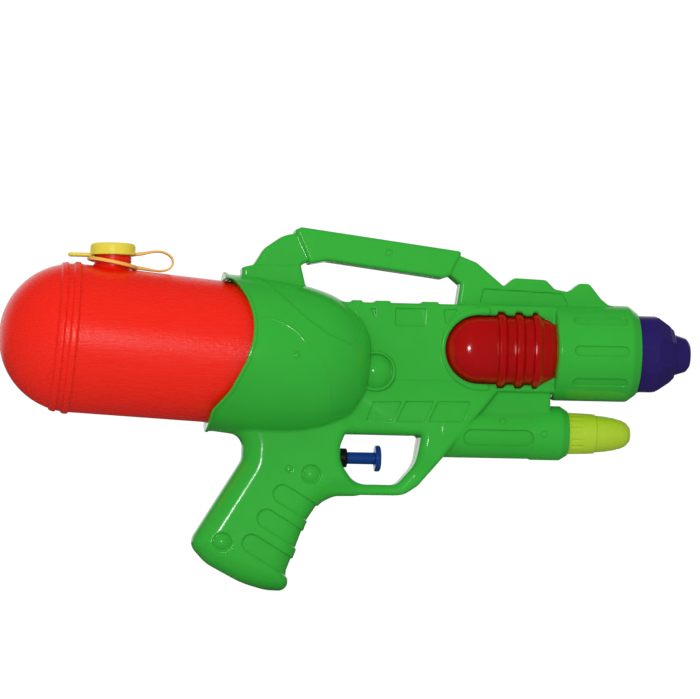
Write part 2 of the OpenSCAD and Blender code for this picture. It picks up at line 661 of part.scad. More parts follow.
// Pump
module suction_hose() {
    z0 = pump_z + inlet_r + suction_gap;
    z1 = tank_spigot_z + suction_hold;
    color("white") translate([inlet_x, 0, z0]) difference() {
        cylinder(h = z1 - z0, r = spigot_r + slide_gap + suction_wall);
        translate([0, 0, -1]) cylinder(h = z1 - z0 + 2, r = spigot_r + slide_gap);
    }
}
module inlet_valve_body() {
    color("white") difference() {
        union() {
            along_x(inlet_x - spigot_r, pump_z) cylinder(h = pump_x0 - inlet_x + spigot_r, r = inlet_r);
            translate([inlet_x, 0, pump_z]) cylinder(h = inlet_r + inlet_spigot_l, r = spigot_r);
        }
        translate([inlet_x, 0, pump_z]) cylinder(h = inlet_r + inlet_spigot_l + 1, r = spigot_bore_r);
        along_x(inlet_x - spigot_bore_r, pump_z) cylinder(h = 2 * spigot_bore_r, r = spigot_bore_r);
        along_x(inlet_x, pump_z) cylinder(h = inlet_seat_x + 1, r = inlet_seat_r);
        along_x(inlet_x + inlet_seat_x, pump_z) cylinder(h = pump_x0, r = inlet_ball_r + ball_gap);
    }
}
inlet_ball_x = inlet_x + inlet_seat_x + sqrt(pow(inlet_ball_r, 2) - pow(inlet_seat_r, 2)) + seat_gap;
module inlet_ball() { color("white") along_x(inlet_ball_x, pump_z) sphere(r = inlet_ball_r); }
module pump_cylinder() {
    stop_x = inlet_ball_x + inlet_lift + inlet_ball_r + seat_gap;
    port_z = pump_z + pump_bore_r;
    cross_l = pump_x0 + pump_head - stop_x + 1;
    color("white") difference() {
        union() {
            along_x(pump_x0, pump_z) cylinder(h = pump_x1 - pump_x0, r = pump_r);
            along_x(stop_x, pump_z)
                cylinder(h = pump_x0 - stop_x + 1, r = inlet_ball_r + ball_gap - slide_gap);
            translate([outlet_x, 0, port_z]) cylinder(h = outlet_z - port_z, r = port_r);
        }
        along_x(pump_x0 + pump_head, pump_z) cylinder(h = pump_x1, r = pump_bore_r);
        for (a = [0, 90])
            along_x(stop_x - 1, pump_z) rotate(a)
                translate([-inlet_ball_r, -cross_w / 2, 0]) cube([2 * inlet_ball_r, cross_w, cross_l]);
        translate([outlet_x, 0, pump_z]) cylinder(h = outlet_z - pump_z, r = outlet_seat_r);
        along_x(inlet_x, outlet_z) cylinder(h = pump_x1, r = outlet_body_r + eps);
    }
}
module pump_gland() {
    color("black") difference() {
        union() {
            along_x(pump_x1 - gland_plug, pump_z)
                cylinder(h = gland_plug + 1, r = pump_bore_r - slide_gap / 2);
            along_x(pump_x1 + eps, pump_z) cylinder(h = gland_collar, r = pump_r - 2 * slide_gap);
            along_x(pump_x1 + 1, pump_z) cylinder(h = gland_x1 - pump_x1 - 1, r = gland_r);
        }
        along_x(pump_x0, pump_z) cylinder(h = plate_x, r = rod_r + slide_gap);
    }
}
module plunger() {
    color("royalblue") difference() {
        union() {
            along_x(piston_x1 - piston_l, pump_z) cylinder(h = piston_l, r = piston_r);
            along_x(piston_x1 - 1, pump_z) cylinder(h = plate_x - piston_x1, r = rod_r);
            along_x(plate_x - plate_t, pump_z) cylinder(h = plate_t - plate_edge, r = plate_r);
            along_x(plate_x - plate_edge - eps, pump_z)
                cylinder(h = plate_edge, r1 = plate_r, r2 = plate_r - plate_edge);
        }
        sleeve_x(seal_x - seal_wire_r - slide_gap / 2, seal_x + seal_wire_r + slide_gap / 2, pump_z,
                 seal_r - seal_wire_r - 2 * eps, piston_r + 1);
    }
}
module piston_seal() {
    color("dimgray") along_x(seal_x, pump_z)
        rotate_extrude() translate([seal_r, 0]) circle(r = seal_wire_r, $fn = 24);
}
module return_spring() {
    x0 = pump_x0 + pump_head + wire_r + slide_gap;
    x1 = piston_x1 - piston_l - wire_r - slide_gap;
    steps = coils * 12;
    points = [for (i = [0 : steps], k = [0 : 5])
        let (a = 360 * coils * i / steps, b = 60 * k, r = spring_r + wire_r * cos(b))
        [x0 + (x1 - x0) * i / steps + wire_r * sin(b), r * cos(a), pump_z + r * sin(a)]];
    color("silver") polyhedron(points, ring_faces(steps + 1, 6));
}
outlet_ball_x = outlet_seat_x + sqrt(pow(outlet_ball_r, 2) - pow(outlet_seat_r, 2)) + seat_gap;
module outlet_valve_body() {
    stop_x = outlet_ball_x + outlet_lift + outlet_ball_r + seat_gap;
    color("white") difference() {
        union() {
            along_x(outlet_body_x0, outlet_z)
                cylinder(h = outlet_body_x1 - outlet_body_x0, r = outlet_body_r);
            along_x(outlet_body_x1 - 1, outlet_z) cylinder(h = barb_l + 1, r = barb_r);
        }
        translate([outlet_x, 0, pump_z]) cylinder(h = outlet_z - pump_z, r = outlet_seat_r);
        along_x(outlet_x - outlet_seat_r, outlet_z)
            cylinder(h = outlet_seat_x - outlet_x + 2, r = outlet_seat_r);
        along_x(outlet_seat_x, outlet_z) cylinder(h = stop_x - outlet_seat_x, r = outlet_ball_r + ball_gap);
        translate([stop_x - eps, -outlet_ball_r, outlet_z - cross_w / 2])
            cube([cross_w, 2 * outlet_ball_r, cross_w]);
        along_x(stop_x - 1, outlet_z) cylinder(h = outlet_body_x1 + barb_l, r = barb_bore_r);
    }
}
module outlet_ball() { color("white") along_x(outlet_ball_x, outlet_z) sphere(r = outlet_ball_r); }
module delivery_hose() { color("white") swept_hose(hose_route, hose_r, hose_in_r, hose_sides); }

// Nozzle, chamber and tip
module nozzle_tier(low, high) {
    square = 1 / cos(22.5);
    along_x(low[0], barrel_z) rotate(22.5)
        cylinder(h = high[0] - low[0] + eps, r1 = low[1] * square, r2 = high[1] * square, $fn = 8);
}
module nozzle_cone(low, high) {
    along_x(low[0], barrel_z) cylinder(h = high[0] - low[0] + eps, r1 = low[1], r2 = high[1]);
}
module nozzle() {
    base_x = nozzle_tiers[0][0];
    color("indigo") difference() {
        union() {
            nozzle_cone([nozzle_flange[0], nozzle_flange_r], [nozzle_flange[1], nozzle_flange_r]);
            nozzle_cone([nozzle_flange[0], nozzle_r], [base_x, nozzle_r]);
            intersection() {
                along_x(base_x, barrel_z) cylinder(h = nozzle_x - base_x, r = nozzle_r);
                union()
                    for (i = [1 : len(nozzle_tiers) - 1]) nozzle_tier(nozzle_tiers[i - 1], nozzle_tiers[i]);
            }
            for (i = [0 : len(nozzle_snout) - 2]) nozzle_cone(nozzle_snout[i], nozzle_snout[i + 1]);
            nozzle_cone([nozzle_barb_x, barb_r], [base_x, barb_r]);
        }
        difference() {
            union() {
                nozzle_cone([nozzle_flange[0] - 1, nozzle_in_r], [nozzle_pocket[0], nozzle_in_r]);
                nozzle_cone([nozzle_pocket[0], nozzle_in_r], [nozzle_pocket[1], nozzle_pocket_r]);
            }
            nozzle_cone([nozzle_barb_x, barb_r], [nozzle_barb_x + barb_l, barb_r]);
            nozzle_cone([nozzle_barb_x + barb_l, nozzle_stem_r], [nozzle_x, nozzle_stem_r]);
        }
        nozzle_cone([nozzle_barb_x - 1, barb_bore_r], [nozzle_x - outlet_l - outlet_recess, barb_bore_r]);
        nozzle_cone([nozzle_barb_x, outlet_r], [nozzle_x + 1, outlet_r]);
        nozzle_cone([nozzle_x - outlet_recess, outlet_recess_r], [nozzle_x + 1, outlet_recess_r]);
    }
}
function pod_profile(t) = concat(
    [for (i = [0 : 12]) [0, pod_x0] + (pod_r - t) * [sin(90 * i / 12), -cos(90 * i / 12)]],
    [for (x = pod_rib_places) each
        [[pod_r - t, x - pod_rib_w / 2 + t / 2], [pod_r + pod_rib - t, x - pod_rib_w / 4 + t / 4],
         [pod_r + pod_rib - t, x + pod_rib_w / 4 - t / 4], [pod_r - t, x + pod_rib_w / 2 - t / 2]]],
    [[pod_r - t, pod_x1 - t], [0, pod_x1 - t]]);
module chamber() {
    color("darkred") translate([0, 0, pod_z]) rotate([0, 90, 0]) difference() {
        rotate_extrude() polygon(pod_profile(0));
        rotate_extrude() polygon(pod_profile(pod_wall));
    }
}
module fluted_tip() {
    profile = concat([[0, tip_flange[0]], [tip_flange_r, tip_flange[0]], [tip_flange_r, tip_flange[1]],
                      [tip_r, tip_flange[1]], [tip_r, tube_x1 + 1]],
                     [for (p = tip_profile) [p[1], p[0]]], [[0, tip_x1]]);
    bore_r = tip_r - tip_wall;
    color("yellowgreen") translate([0, 0, tube_z]) rotate([0, 90, 0]) difference() {
        rotate_extrude() polygon(profile);
        translate([0, 0, tip_flange[0] - 1]) cylinder(h = tip_bore[0] - tip_flange[0] + 1, r = bore_r);
        translate([0, 0, tip_bore[0] - eps])
            cylinder(h = tip_bore[1] - tip_bore[0], r1 = bore_r, r2 = tip_bore_end_r);
        for (i = [0 : tip_flutes - 1]) rotate(360 * i / tip_flutes)
            translate([tip_r + tip_flute_r / 2, 0, tube_x1 + tip_flute_from])
                cylinder(h = tip_flute_l, r = tip_flute_r);
    }
}

right_shell();
left_shell();
shell_screws();
tank();
filler_cap();
cap_gasket();
cap_tether();
suction_hose();
inlet_valve_body();
inlet_ball();
pump_cylinder();
pump_gland();
plunger();
piston_seal();
return_spring();
outlet_valve_body();
outlet_ball();
delivery_hose();
nozzle();
chamber();
fluted_tip();
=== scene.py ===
# %% [markdown]
# # Water squirter
# This lesson dresses a toy water squirter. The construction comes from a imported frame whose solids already
# have the right sizes, places and joints. Here the moulded shells, the blow-moulded tank and the small
# coloured parts get their true surfaces, and each plastic gets its finish. Lengths are written in
# millimetres, because that is how such parts are drawn, and are turned into metres when a mesh is made.

# %% Load the frame
import math
import bpy
import numpy as np
import openvdb
from mathutils import Matrix, Vector


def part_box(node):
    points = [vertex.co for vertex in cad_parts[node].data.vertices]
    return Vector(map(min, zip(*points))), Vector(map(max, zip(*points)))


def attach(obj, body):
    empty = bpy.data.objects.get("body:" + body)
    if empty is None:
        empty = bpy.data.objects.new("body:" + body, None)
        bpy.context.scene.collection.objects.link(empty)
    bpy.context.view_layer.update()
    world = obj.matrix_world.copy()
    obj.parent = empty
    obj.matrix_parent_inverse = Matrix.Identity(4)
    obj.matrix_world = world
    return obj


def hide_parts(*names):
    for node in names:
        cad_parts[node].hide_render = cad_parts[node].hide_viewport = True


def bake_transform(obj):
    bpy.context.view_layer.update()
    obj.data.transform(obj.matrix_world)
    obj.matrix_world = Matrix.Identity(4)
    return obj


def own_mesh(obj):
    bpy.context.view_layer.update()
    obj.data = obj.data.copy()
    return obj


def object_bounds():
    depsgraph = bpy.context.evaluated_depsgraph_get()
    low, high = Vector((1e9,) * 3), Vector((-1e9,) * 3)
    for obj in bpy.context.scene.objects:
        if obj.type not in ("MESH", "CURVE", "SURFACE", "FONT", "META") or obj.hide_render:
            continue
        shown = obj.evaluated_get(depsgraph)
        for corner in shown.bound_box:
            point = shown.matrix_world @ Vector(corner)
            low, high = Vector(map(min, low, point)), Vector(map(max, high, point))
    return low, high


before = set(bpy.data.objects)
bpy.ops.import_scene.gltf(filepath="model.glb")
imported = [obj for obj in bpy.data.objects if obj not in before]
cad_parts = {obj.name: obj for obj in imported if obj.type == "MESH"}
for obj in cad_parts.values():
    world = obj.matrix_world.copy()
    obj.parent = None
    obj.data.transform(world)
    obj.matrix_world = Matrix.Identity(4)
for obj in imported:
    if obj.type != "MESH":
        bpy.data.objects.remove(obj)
cad_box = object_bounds()
MM = 0.001

# %% [markdown]
# ## Camera
# The picture was taken from far away with a long lens, a little from the tank's side and from just below
# the middle of the toy. The object was also held a little nose down, so the camera rolls by about a degree.
# The focal length follows from the size of one pixel at the target and from the distance.

# %% Place the camera
IMAGE_WIDTH = 700
PIXEL = 0.64
TARGET = Vector((53.9, 0.0, 100.9)) * MM
DISTANCE = 2500 * MM
AZIMUTH = math.radians(-6.5)
ELEVATION = math.radians(-2.5)
ROLL = math.radians(1.0)
SENSOR = 36.0
FAR_CLIP = 20


def look_from(azimuth, elevation, roll, distance):
    """The matrix of a camera that looks at the target from a direction, rolled about its own axis."""
    back = Vector((math.sin(azimuth) * math.cos(elevation), -math.cos(azimuth) * math.cos(elevation),
                   math.sin(elevation)))
    right = Vector((0, 0, 1)).cross(back).normalized()
    up = back.cross(right)
    rolled_right = right * math.cos(roll) + up * math.sin(roll)
    rolled_up = up * math.cos(roll) - right * math.sin(roll)
    turn = Matrix((rolled_right, rolled_up, back)).transposed()
    return Matrix.Translation(TARGET + back * distance) @ turn.to_4x4()


camera_data = bpy.data.cameras.new("photo_camera")
camera_data.sensor_width = SENSOR
camera_data.sensor_fit = "HORIZONTAL"
camera_data.lens = SENSOR * DISTANCE / (IMAGE_WIDTH * PIXEL * MM)
camera_data.clip_end = FAR_CLIP
camera = bpy.data.objects.new("photo_camera", camera_data)
camera.matrix_world = look_from(AZIMUTH, ELEVATION, ROLL, DISTANCE)
bpy.context.scene.collection.objects.link(camera)
bpy.context.scene.camera = camera
print("lens:", round(camera_data.lens, 1), "mm")

# %% [markdown]
# ## Outlines and distance charts
# A moulded shell is a few plates and round bodies melted together, with slots, panels and soft edges.
# Boolean cuts of such shapes leave hard seams that are tedious to bevel. A distance field is easier: every
# form is a formula that gives the distance to its surface, negative inside. Joining two forms takes the
# smaller distance, cutting takes the larger, and rounding an edge is one more formula. The side outlines
# are lists of corners with a radius each, and their distances are worked out once on a fine chart.

# %% Outline helpers
CHORD = 1.0
ARC_SHARE = 0.49
CHART_STEP = 0.5
CHART_MARGIN = 12.0
FAR = 1e9
# These keep a division away from nought.
TINY, SMALL = 1e-9, 1e-6


def rounded(corners):
    """The points of a closed outline whose corners (x, z, radius) are rounded with arcs."""
    points = []
    for i, (x, z, radius) in enumerate(corners):
        here = np.array((x, z))
        back = np.array(corners[i - 1][:2]) - here
        ahead = np.array(corners[(i + 1) % len(corners)][:2]) - here
        room = ARC_SHARE * min(np.hypot(*back), np.hypot(*ahead))
        back = back / np.hypot(*back)
        ahead = ahead / np.hypot(*ahead)
        half = math.acos(np.clip(back @ ahead, -1, 1)) / 2
        radius = min(radius, room * math.tan(half))
        centre = here + (back + ahead) / np.hypot(*(back + ahead)) * radius / math.sin(half)
        start = here + back * radius / math.tan(half) - centre
        sweep = (2 * half - math.pi) * np.sign(back[0] * ahead[1] - back[1] * ahead[0])
        for turn in np.linspace(0, sweep, max(2, int(abs(sweep) * radius / CHORD)) + 1):
            points.append(centre + (start[0] * math.cos(turn) - start[1] * math.sin(turn),
                                    start[0] * math.sin(turn) + start[1] * math.cos(turn)))
    return np.array(points)


def path_distance(points, x, z, closed=True):
    """The distance from (x, z) to a line through points, and negative inside where the line is closed."""
    nearest = np.full(np.broadcast(x, z).shape, FAR, np.float32)
    inside = np.zeros(nearest.shape, bool)
    ends = np.roll(points, -1, axis=0) if closed else points[1:]
    for (x0, z0), (x1, z1) in zip(points, ends):
        dx = x1 - x0
        dz = z1 - z0
        share = np.clip(((x - x0) * dx + (z - z0) * dz) / (dx * dx + dz * dz + TINY), 0, 1)
        nearest = np.minimum(nearest, (x - x0 - share * dx) ** 2 + (z - z0 - share * dz) ** 2)
        inside ^= ((z0 > z) != (z1 > z)) & (x < x0 + dx * (z - z0) / (dz if dz else TINY))
    return np.sqrt(nearest) * (np.where(inside, -1, 1) if closed else 1)


class Chart:
    """The signed distance to an outline, worked out once on a grid and then read off anywhere."""

    def __init__(self, points, closed=True):
        self.low = points.min(0) - CHART_MARGIN
        count = np.ceil((points.max(0) + CHART_MARGIN - self.low) / CHART_STEP).astype(int) + 1
        x = self.low[0] + np.arange(count[0])[:, None] * CHART_STEP
        z = self.low[1] + np.arange(count[1])[None, :] * CHART_STEP
        self.values = path_distance(points, x, z, closed).astype(np.float32)

    def __call__(self, x, z):
        u = (x - self.low[0]) / CHART_STEP
        v = (z - self.low[1]) / CHART_STEP
        on_u = np.clip(u, 0, self.values.shape[0] - 1.001)
        on_v = np.clip(v, 0, self.values.shape[1] - 1.001)
        i = on_u.astype(np.int32)
        j = on_v.astype(np.int32)
        s = on_u - i
        t = on_v - j
        flat = (self.values[i, j] * (1 - s) + self.values[i + 1, j] * s) * (1 - t)
        flat = flat + (self.values[i, j + 1] * (1 - s) + self.values[i + 1, j + 1] * s) * t
        return flat + np.hypot(u - on_u, v - on_v) * CHART_STEP


def joined(a, b, soft):
    """Two forms as one, with a soft fillet where they meet."""
    near = np.maximum(soft - np.abs(a - b), 0) / soft
    return np.minimum(a, b) - near * near * soft / 4


def within(a, b, edge):
    """What two forms have in common, with the edge between them rounded to a radius."""
    u = a + edge
    v = b + edge
    return np.minimum(np.maximum(u, v), 0) + np.hypot(np.maximum(u, 0), np.maximum(v, 0)) - edge


def ramp(distance, slope):
    """0 outside an outline and 1 inside it, with a smooth flank as wide as slope."""
    t = np.clip(-distance / slope, 0, 1)
    return t * t * (3 - 2 * t)


def curve_through(points, steps):
    """A smooth curve through points (Catmull-Rom)."""
    p = np.array([points[0]] + list(points) + [points[-1]], float)
    t = np.linspace(0, 1, steps, endpoint=False)[:, None]
    runs = []
    for a, b, c, d in zip(p[:-3], p[1:-2], p[2:-1], p[3:]):
        runs.append(b + 0.5 * t * (c - a + t * (2 * a - 5 * b + 4 * c - d + t * (3 * (b - c) + d - a))))
    return np.vstack(runs + [p[-1:]])


print("outline helpers are ready")

# %% [markdown]
# ## From a field to a mesh
# A field is sampled on a grid of small cells, and Blender's own copy of the volume library finds the
# surface between the cells. The points it gives are close, but not exact, so each is slid along the field's
# slope until the distance is nil. The slope also gives a true normal for every point, which keeps long
# reflections calm.

# %% Mesh maker
CORNERS = np.array([(1, 1, 1), (1, -1, -1), (-1, 1, -1), (-1, -1, 1)], np.float32)
SLOPE_STEP = 0.12
BLOCK, BLOCK_REACH = 20, 1.3
BAND_CELLS, EDGE_CELLS, QUICK_CELLS = 4, 2, 1.5
SLIDES, LEAST_STEEP = 2, 0.2


def slope_of(field, points):
    """The field's gradient at points, from the four corners of a small tetrahedron round each."""
    step = SLOPE_STEP
    return sum(field(*(points + corner * step).T)[:, None] * corner for corner in CORNERS) / (4 * step)


def sample(field, low, count, cell):
    """The field's values on a grid. Blocks of the grid far from the surface only get a far value."""
    far = BAND_CELLS * cell
    values = np.full(count, far, np.float32)
    reach = BLOCK * cell * BLOCK_REACH
    axes = [low[k] + np.arange(count[k], dtype=np.float32) * cell for k in range(3)]
    starts = [range(0, count[k], BLOCK) for k in range(3)]
    for i in starts[0]:
        for j in starts[1]:
            for k in starts[2]:
                x, y, z = (axes[a][b:b + BLOCK] for a, b in zip(range(3), (i, j, k)))
                middle = float(field(x.mean(keepdims=True), y.mean(keepdims=True), z.mean(keepdims=True))[0])
                if abs(middle) > reach:
                    block = np.sign(middle) * far
                else:
                    block = field(x[:, None, None], y[None, :, None], z[None, None, :])
                values[i:i + BLOCK, j:j + BLOCK, k:k + BLOCK] = np.clip(block, -far, far)
    return values


def solid_from(name, field, low, high, cell):
    """A mesh object of the surface where field(x, y, z) is nil, in millimetres, made within a box."""
    low = np.array(low, np.float32) - EDGE_CELLS * cell
    count = np.ceil((np.array(high, np.float32) + EDGE_CELLS * cell - low) / cell).astype(int) + 1
    grid = openvdb.FloatGrid(BAND_CELLS * cell)
    grid.copyFromArray(sample(field, low, count, cell))
    points, triangles, quads = grid.convertToPolygons(0.0, 0.0)
    points = low + points.astype(np.float32) * cell
    for _ in range(SLIDES):
        slope = slope_of(field, points)
        steep = np.maximum((slope ** 2).sum(1), LEAST_STEEP)
        move = np.clip(field(*points.T) / steep, -cell / 2, cell / 2)
        points = points - slope * move[:, None]
    normals = slope_of(field, points)
    normals = normals / np.maximum(np.linalg.norm(normals, axis=1), SMALL)[:, None]
    mesh = bpy.data.meshes.new(name)
    faces = quads.tolist() + triangles.tolist()
    mesh.from_pydata((points * MM).tolist(), [], faces)
    mesh.validate()
    mesh.polygons.foreach_set("use_smooth", np.ones(len(mesh.polygons), bool))
    mesh.normals_split_custom_set_from_vertices(normals.tolist())
    piece = bpy.data.objects.new(name, mesh)
    bpy.context.scene.collection.objects.link(piece)
    print(name, len(points), "points", len(faces), "faces")
    return piece


def stands_for(piece, body, node, material):
    """Let a piece ride on a body in place of a node, with its finish."""
    piece.data.materials.append(material)
    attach(piece, body)
    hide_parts(node)
    return piece


print("mesh maker is ready")

# %% [markdown]
# ## Colours and shader nodes
# Plastics are coloured in the mass, so their colour is even and the finish does the rest: gloss, a little
# unevenness in the skin and fine handling marks. Colours are written as sRGB hex values, as on a colour
# card, and one function turns them to the linear values that shaders use. One more adds any node with its
# settings and links.

# %% Material helpers
# Most values of a noise texture lie between these two.
NOISE_LOW, NOISE_HIGH = 0.3, 0.7


def linear(hex_colour):
    """An sRGB hex colour as the linear RGBA that shader sockets take."""
    parts = [int(hex_colour[k:k + 2], 16) / 255 for k in (1, 3, 5)]
    return [c / 12.92 if c <= 0.04045 else ((c + 0.055) / 1.055) ** 2.4 for c in parts] + [1.0]


def add(tree, kind, settings=None, **inputs):
    """Add a node with its settings, and set or link its inputs. An input's spaces are written as _."""
    made = tree.nodes.new(kind)
    for key, value in (settings or {}).items():
        setattr(made, key, value)
    for key, value in inputs.items():
        socket = made.inputs[key.replace("_", " ")]
        if isinstance(value, bpy.types.NodeSocket):
            tree.links.new(value, socket)
        else:
            socket.default_value = value
    return made


def plastic(name, hex_colour, roughness, ior):
    """A plain plastic to build on: the material, its node tree, its shader and the object's coordinates."""
    material = bpy.data.materials.new(name)
    material.use_nodes = True
    tree = material.node_tree
    tree.nodes.clear()
    shader = add(tree, "ShaderNodeBsdfPrincipled", Base_Color=linear(hex_colour), Roughness=roughness,
                 IOR=ior)
    add(tree, "ShaderNodeOutputMaterial", Surface=shader.outputs["BSDF"])
    where = add(tree, "ShaderNodeTexCoord").outputs["Object"]
    return material, tree, shader, where


def per_metre(size_mm):
    """A texture scale whose features are about size_mm across."""
    return 1000.0 / size_mm


print("half grey in linear light:", [round(c, 3) for c in linear("#808080")])

# %% [markdown]
# ### Glossy polystyrene shells
# The two shells are injection moulded in high-impact polystyrene, in a polished mould. To the eye that
# gives a clean gloss with a faint orange peel, slow changes of tone where the melt flowed, and hairline
# scuffs that only show where light glances off.

# %% Gloss plastic
MOULDED_IOR = 1.55
FLOW_MM, FLOW_TONE = 60.0, 0.05
SCUFF_MM, SCUFF_DULL, SCUFF_FROM, SCUFF_FULL = 9.0, 0.06, 0.45, 0.75


def moulded_gloss(name, hex_colour, roughness, peel_mm, peel_height_mm):
    """Injection-moulded gloss plastic: an even colour with flow tone, orange peel and a few dull scuffs."""
    material, tree, shader, where = plastic(name, hex_colour, roughness, MOULDED_IOR)
    flow = add(tree, "ShaderNodeTexNoise", Vector=where, Scale=per_metre(FLOW_MM), Detail=2.0)
    tone = add(tree, "ShaderNodeHueSaturation", Color=linear(hex_colour))
    level = add(tree, "ShaderNodeMapRange", Value=flow.outputs["Fac"], From_Min=NOISE_LOW,
                From_Max=NOISE_HIGH, To_Min=1 - FLOW_TONE, To_Max=1 + FLOW_TONE)
    tree.links.new(level.outputs["Result"], tone.inputs["Value"])
    tree.links.new(tone.outputs["Color"], shader.inputs["Base Color"])
    scuffs = add(tree, "ShaderNodeTexNoise", Vector=where, Scale=per_metre(SCUFF_MM), Detail=6.0,
                 Roughness=0.7)
    dull = add(tree, "ShaderNodeMapRange", Value=scuffs.outputs["Fac"], From_Min=SCUFF_FROM,
               From_Max=SCUFF_FULL, To_Min=roughness, To_Max=roughness + SCUFF_DULL)
    tree.links.new(dull.outputs["Result"], shader.inputs["Roughness"])
    peel = add(tree, "ShaderNodeTexNoise", Vector=where, Scale=per_metre(peel_mm), Detail=1.0)
    bump = add(tree, "ShaderNodeBump", Height=peel.outputs["Fac"], Strength=1.0, Distance=peel_height_mm * MM)
    tree.links.new(bump.outputs["Normal"], shader.inputs["Normal"])
    return material


# High-impact polystyrene from a polished mould. A clear gloss that wavers a little in the orange peel.
shell_green = moulded_gloss("polystyrene_green_gloss", "#2FA333", 0.16, 4.0, 0.045)
# The same plastic from a finer mould and in a deep red. It looks wet, with a hard small highlight.
chamber_red = moulded_gloss("polystyrene_dark_red_gloss", "#9C0404", 0.12, 4.0, 0.02)
print("polystyrene made")

# %% [markdown]
# ### The small moulded parts
# The nozzle, the plunger, the gland, the tip, the cap and the tether are moulded too, each in a plastic
# that suits its work: stiff for the nozzle, slippery for what slides, soft for what is pushed on and bent.
# The softer the plastic, the more satin its skin, so they share the gloss recipe with other values.

# %% Plastics of the small parts
# ABS from a polished mould: stiff and dark, with a broad soft gloss on its flats.
nozzle_purple = moulded_gloss("abs_indigo_gloss", "#23155C", 0.22, 3.0, 0.02)
# Polypropylene, which slides well: a waxy gloss.
plunger_blue = moulded_gloss("polypropylene_blue", "#04347F", 0.22, 2.5, 0.02)
# The same with carbon black, from a plain turned mould: dull, and almost no colour.
gland_black = moulded_gloss("polypropylene_black", "#0B0B0C", 0.35, 2.0, 0.02)
# Polyethylene from a lightly blasted mould: satin, with a wide pale sheen.
tip_lime = moulded_gloss("polyethylene_lime_satin", "#A2C420", 0.34, 2.0, 0.03)
# The same in yellow, a little smoother where fingers press it.
cap_yellow = moulded_gloss("polyethylene_yellow_satin", "#DACA3E", 0.3, 2.0, 0.03)
# A softer, more amber grade that bends without whitening, with a dull skin.
strap_yellow = moulded_gloss("soft_polyethylene_amber", "#E4B24C", 0.35, 2.0, 0.03)
print("plastics of the small parts made")

# %% [markdown]
# ### Blow-moulded polyethylene tank
# The tank is blown from a soft tube of polyethylene. Its skin is satin, not glossy, and the stretching
# leaves fine streaks along its length that break up the highlight. The wall lets a little light in, so its
# shade is warm.

# %% Tank plastic
BLOWN_IOR, BLOWN_SHINE = 1.5, 0.6
GLOW_SHARE, GLOW_REACH, GLOW_SCALE = 0.08, (0.004, 0.0012, 0.0006), 0.5
STREAK_DRAW = (0.06, 1.0, 1.0)
GRAIN_MM, SKIN_HEIGHT_MM = 1.6, 0.14
STREAK_SHINE, STREAK_DULL = 0.04, 0.08


def blown_polyethylene(name, hex_colour, roughness, streak_mm):
    """Satin polyethylene with streaks along X where the tube was stretched."""
    material, tree, shader, where = plastic(name, hex_colour, roughness, BLOWN_IOR)
    shader.inputs["Specular IOR Level"].default_value = BLOWN_SHINE
    shader.inputs["Subsurface Weight"].default_value = GLOW_SHARE
    shader.inputs["Subsurface Radius"].default_value = GLOW_REACH
    shader.inputs["Subsurface Scale"].default_value = GLOW_SCALE
    drawn = add(tree, "ShaderNodeMapping", Vector=where)
    drawn.inputs["Scale"].default_value = STREAK_DRAW
    streaks = add(tree, "ShaderNodeTexNoise", Vector=drawn.outputs["Vector"], Scale=per_metre(streak_mm),
                  Detail=4.0, Roughness=0.65)
    grain = add(tree, "ShaderNodeTexNoise", Vector=where, Scale=per_metre(GRAIN_MM), Detail=3.0)
    both = add(tree, "ShaderNodeMath", {"operation": "ADD"})
    tree.links.new(streaks.outputs["Fac"], both.inputs[0])
    tree.links.new(grain.outputs["Fac"], both.inputs[1])
    bump = add(tree, "ShaderNodeBump", Height=both.outputs["Value"], Strength=1.0,
               Distance=SKIN_HEIGHT_MM * MM)
    tree.links.new(bump.outputs["Normal"], shader.inputs["Normal"])
    dull = add(tree, "ShaderNodeMapRange", Value=streaks.outputs["Fac"], From_Min=NOISE_LOW,
               From_Max=NOISE_HIGH, To_Min=roughness - STREAK_SHINE, To_Max=roughness + STREAK_DULL)
    tree.links.new(dull.outputs["Result"], shader.inputs["Roughness"])
    return material


tank_red = blown_polyethylene("polyethylene_red_blown", "#E61800", 0.25, 0.9)
print("tank plastic made")

# %% [markdown]
# ## The shells as one field
# Each shell is a pistol grip, a body plate, a carry handle and a top rail, which are plates with rounded
# edges, and a cowl, a barrel and a lower tube, which are turned forms. They are joined with small fillets.
# The trigger hole and the chamber's window are cut with rounded edges, and panels, slots and flutes are
# shallow dips in the faces. The shell's inside is the same form a wall's thickness smaller. The plates come
# first: each is drawn in the side view as corners of x, z and a radius.

# %% Plate outlines
GRIP = [(-16, 66, 4), (-39, 48, 1), (-14.2, 44.6, 12), (-14.7, 29, 9), (-47.7, -24.6, 9), (-36.2, -37.2, 25),
        (-13, -49.4, 60), (2, -53.6, 30), (16.2, -54, 6.5), (15.8, -41.4, 8), (20.6, -29, 5), (27.1, -11, 6),
        (35.6, 2, 14), (46, 8, 6), (60, 8.5, 3), (60, 54, 3), (48, 66, 4)]
BODY = [(38, 7.9, 2), (88.5, 8.1, 14), (98, 14.5, 12), (148, 75.4, 1), (186, 75.4, 3), (186, 130.8, 3),
        (30, 130.8, 4), (30, 60, 4)]
TRIGGER_HOLE = [(58, 14.8, 14), (84.2, 14.8, 8), (95.9, 28, 20), (99.2, 46.6, 1.5), (50.5, 46.6, 2),
                (47.5, 39, 8), (47.8, 28, 14)]
REAR_ARM = [(-17, 138, 1), (24.5, 138, 1), (20.6, 153.7, 1), (27, 157, 1), (20, 174.5, 3), (9, 172.5, 20),
            (-3, 164, 10), (-9.5, 153.4, 3), (-17, 151.5, 1)]
SLEEVE = [(26, 154.6, 1), (37, 156.9, 4), (104, 148.5, 5), (112, 147.4, 3), (117, 149.4, 1.5),
          (124.3, 164.9, 1.5), (20.5, 178, 2.5), (16.2, 176, 1)]
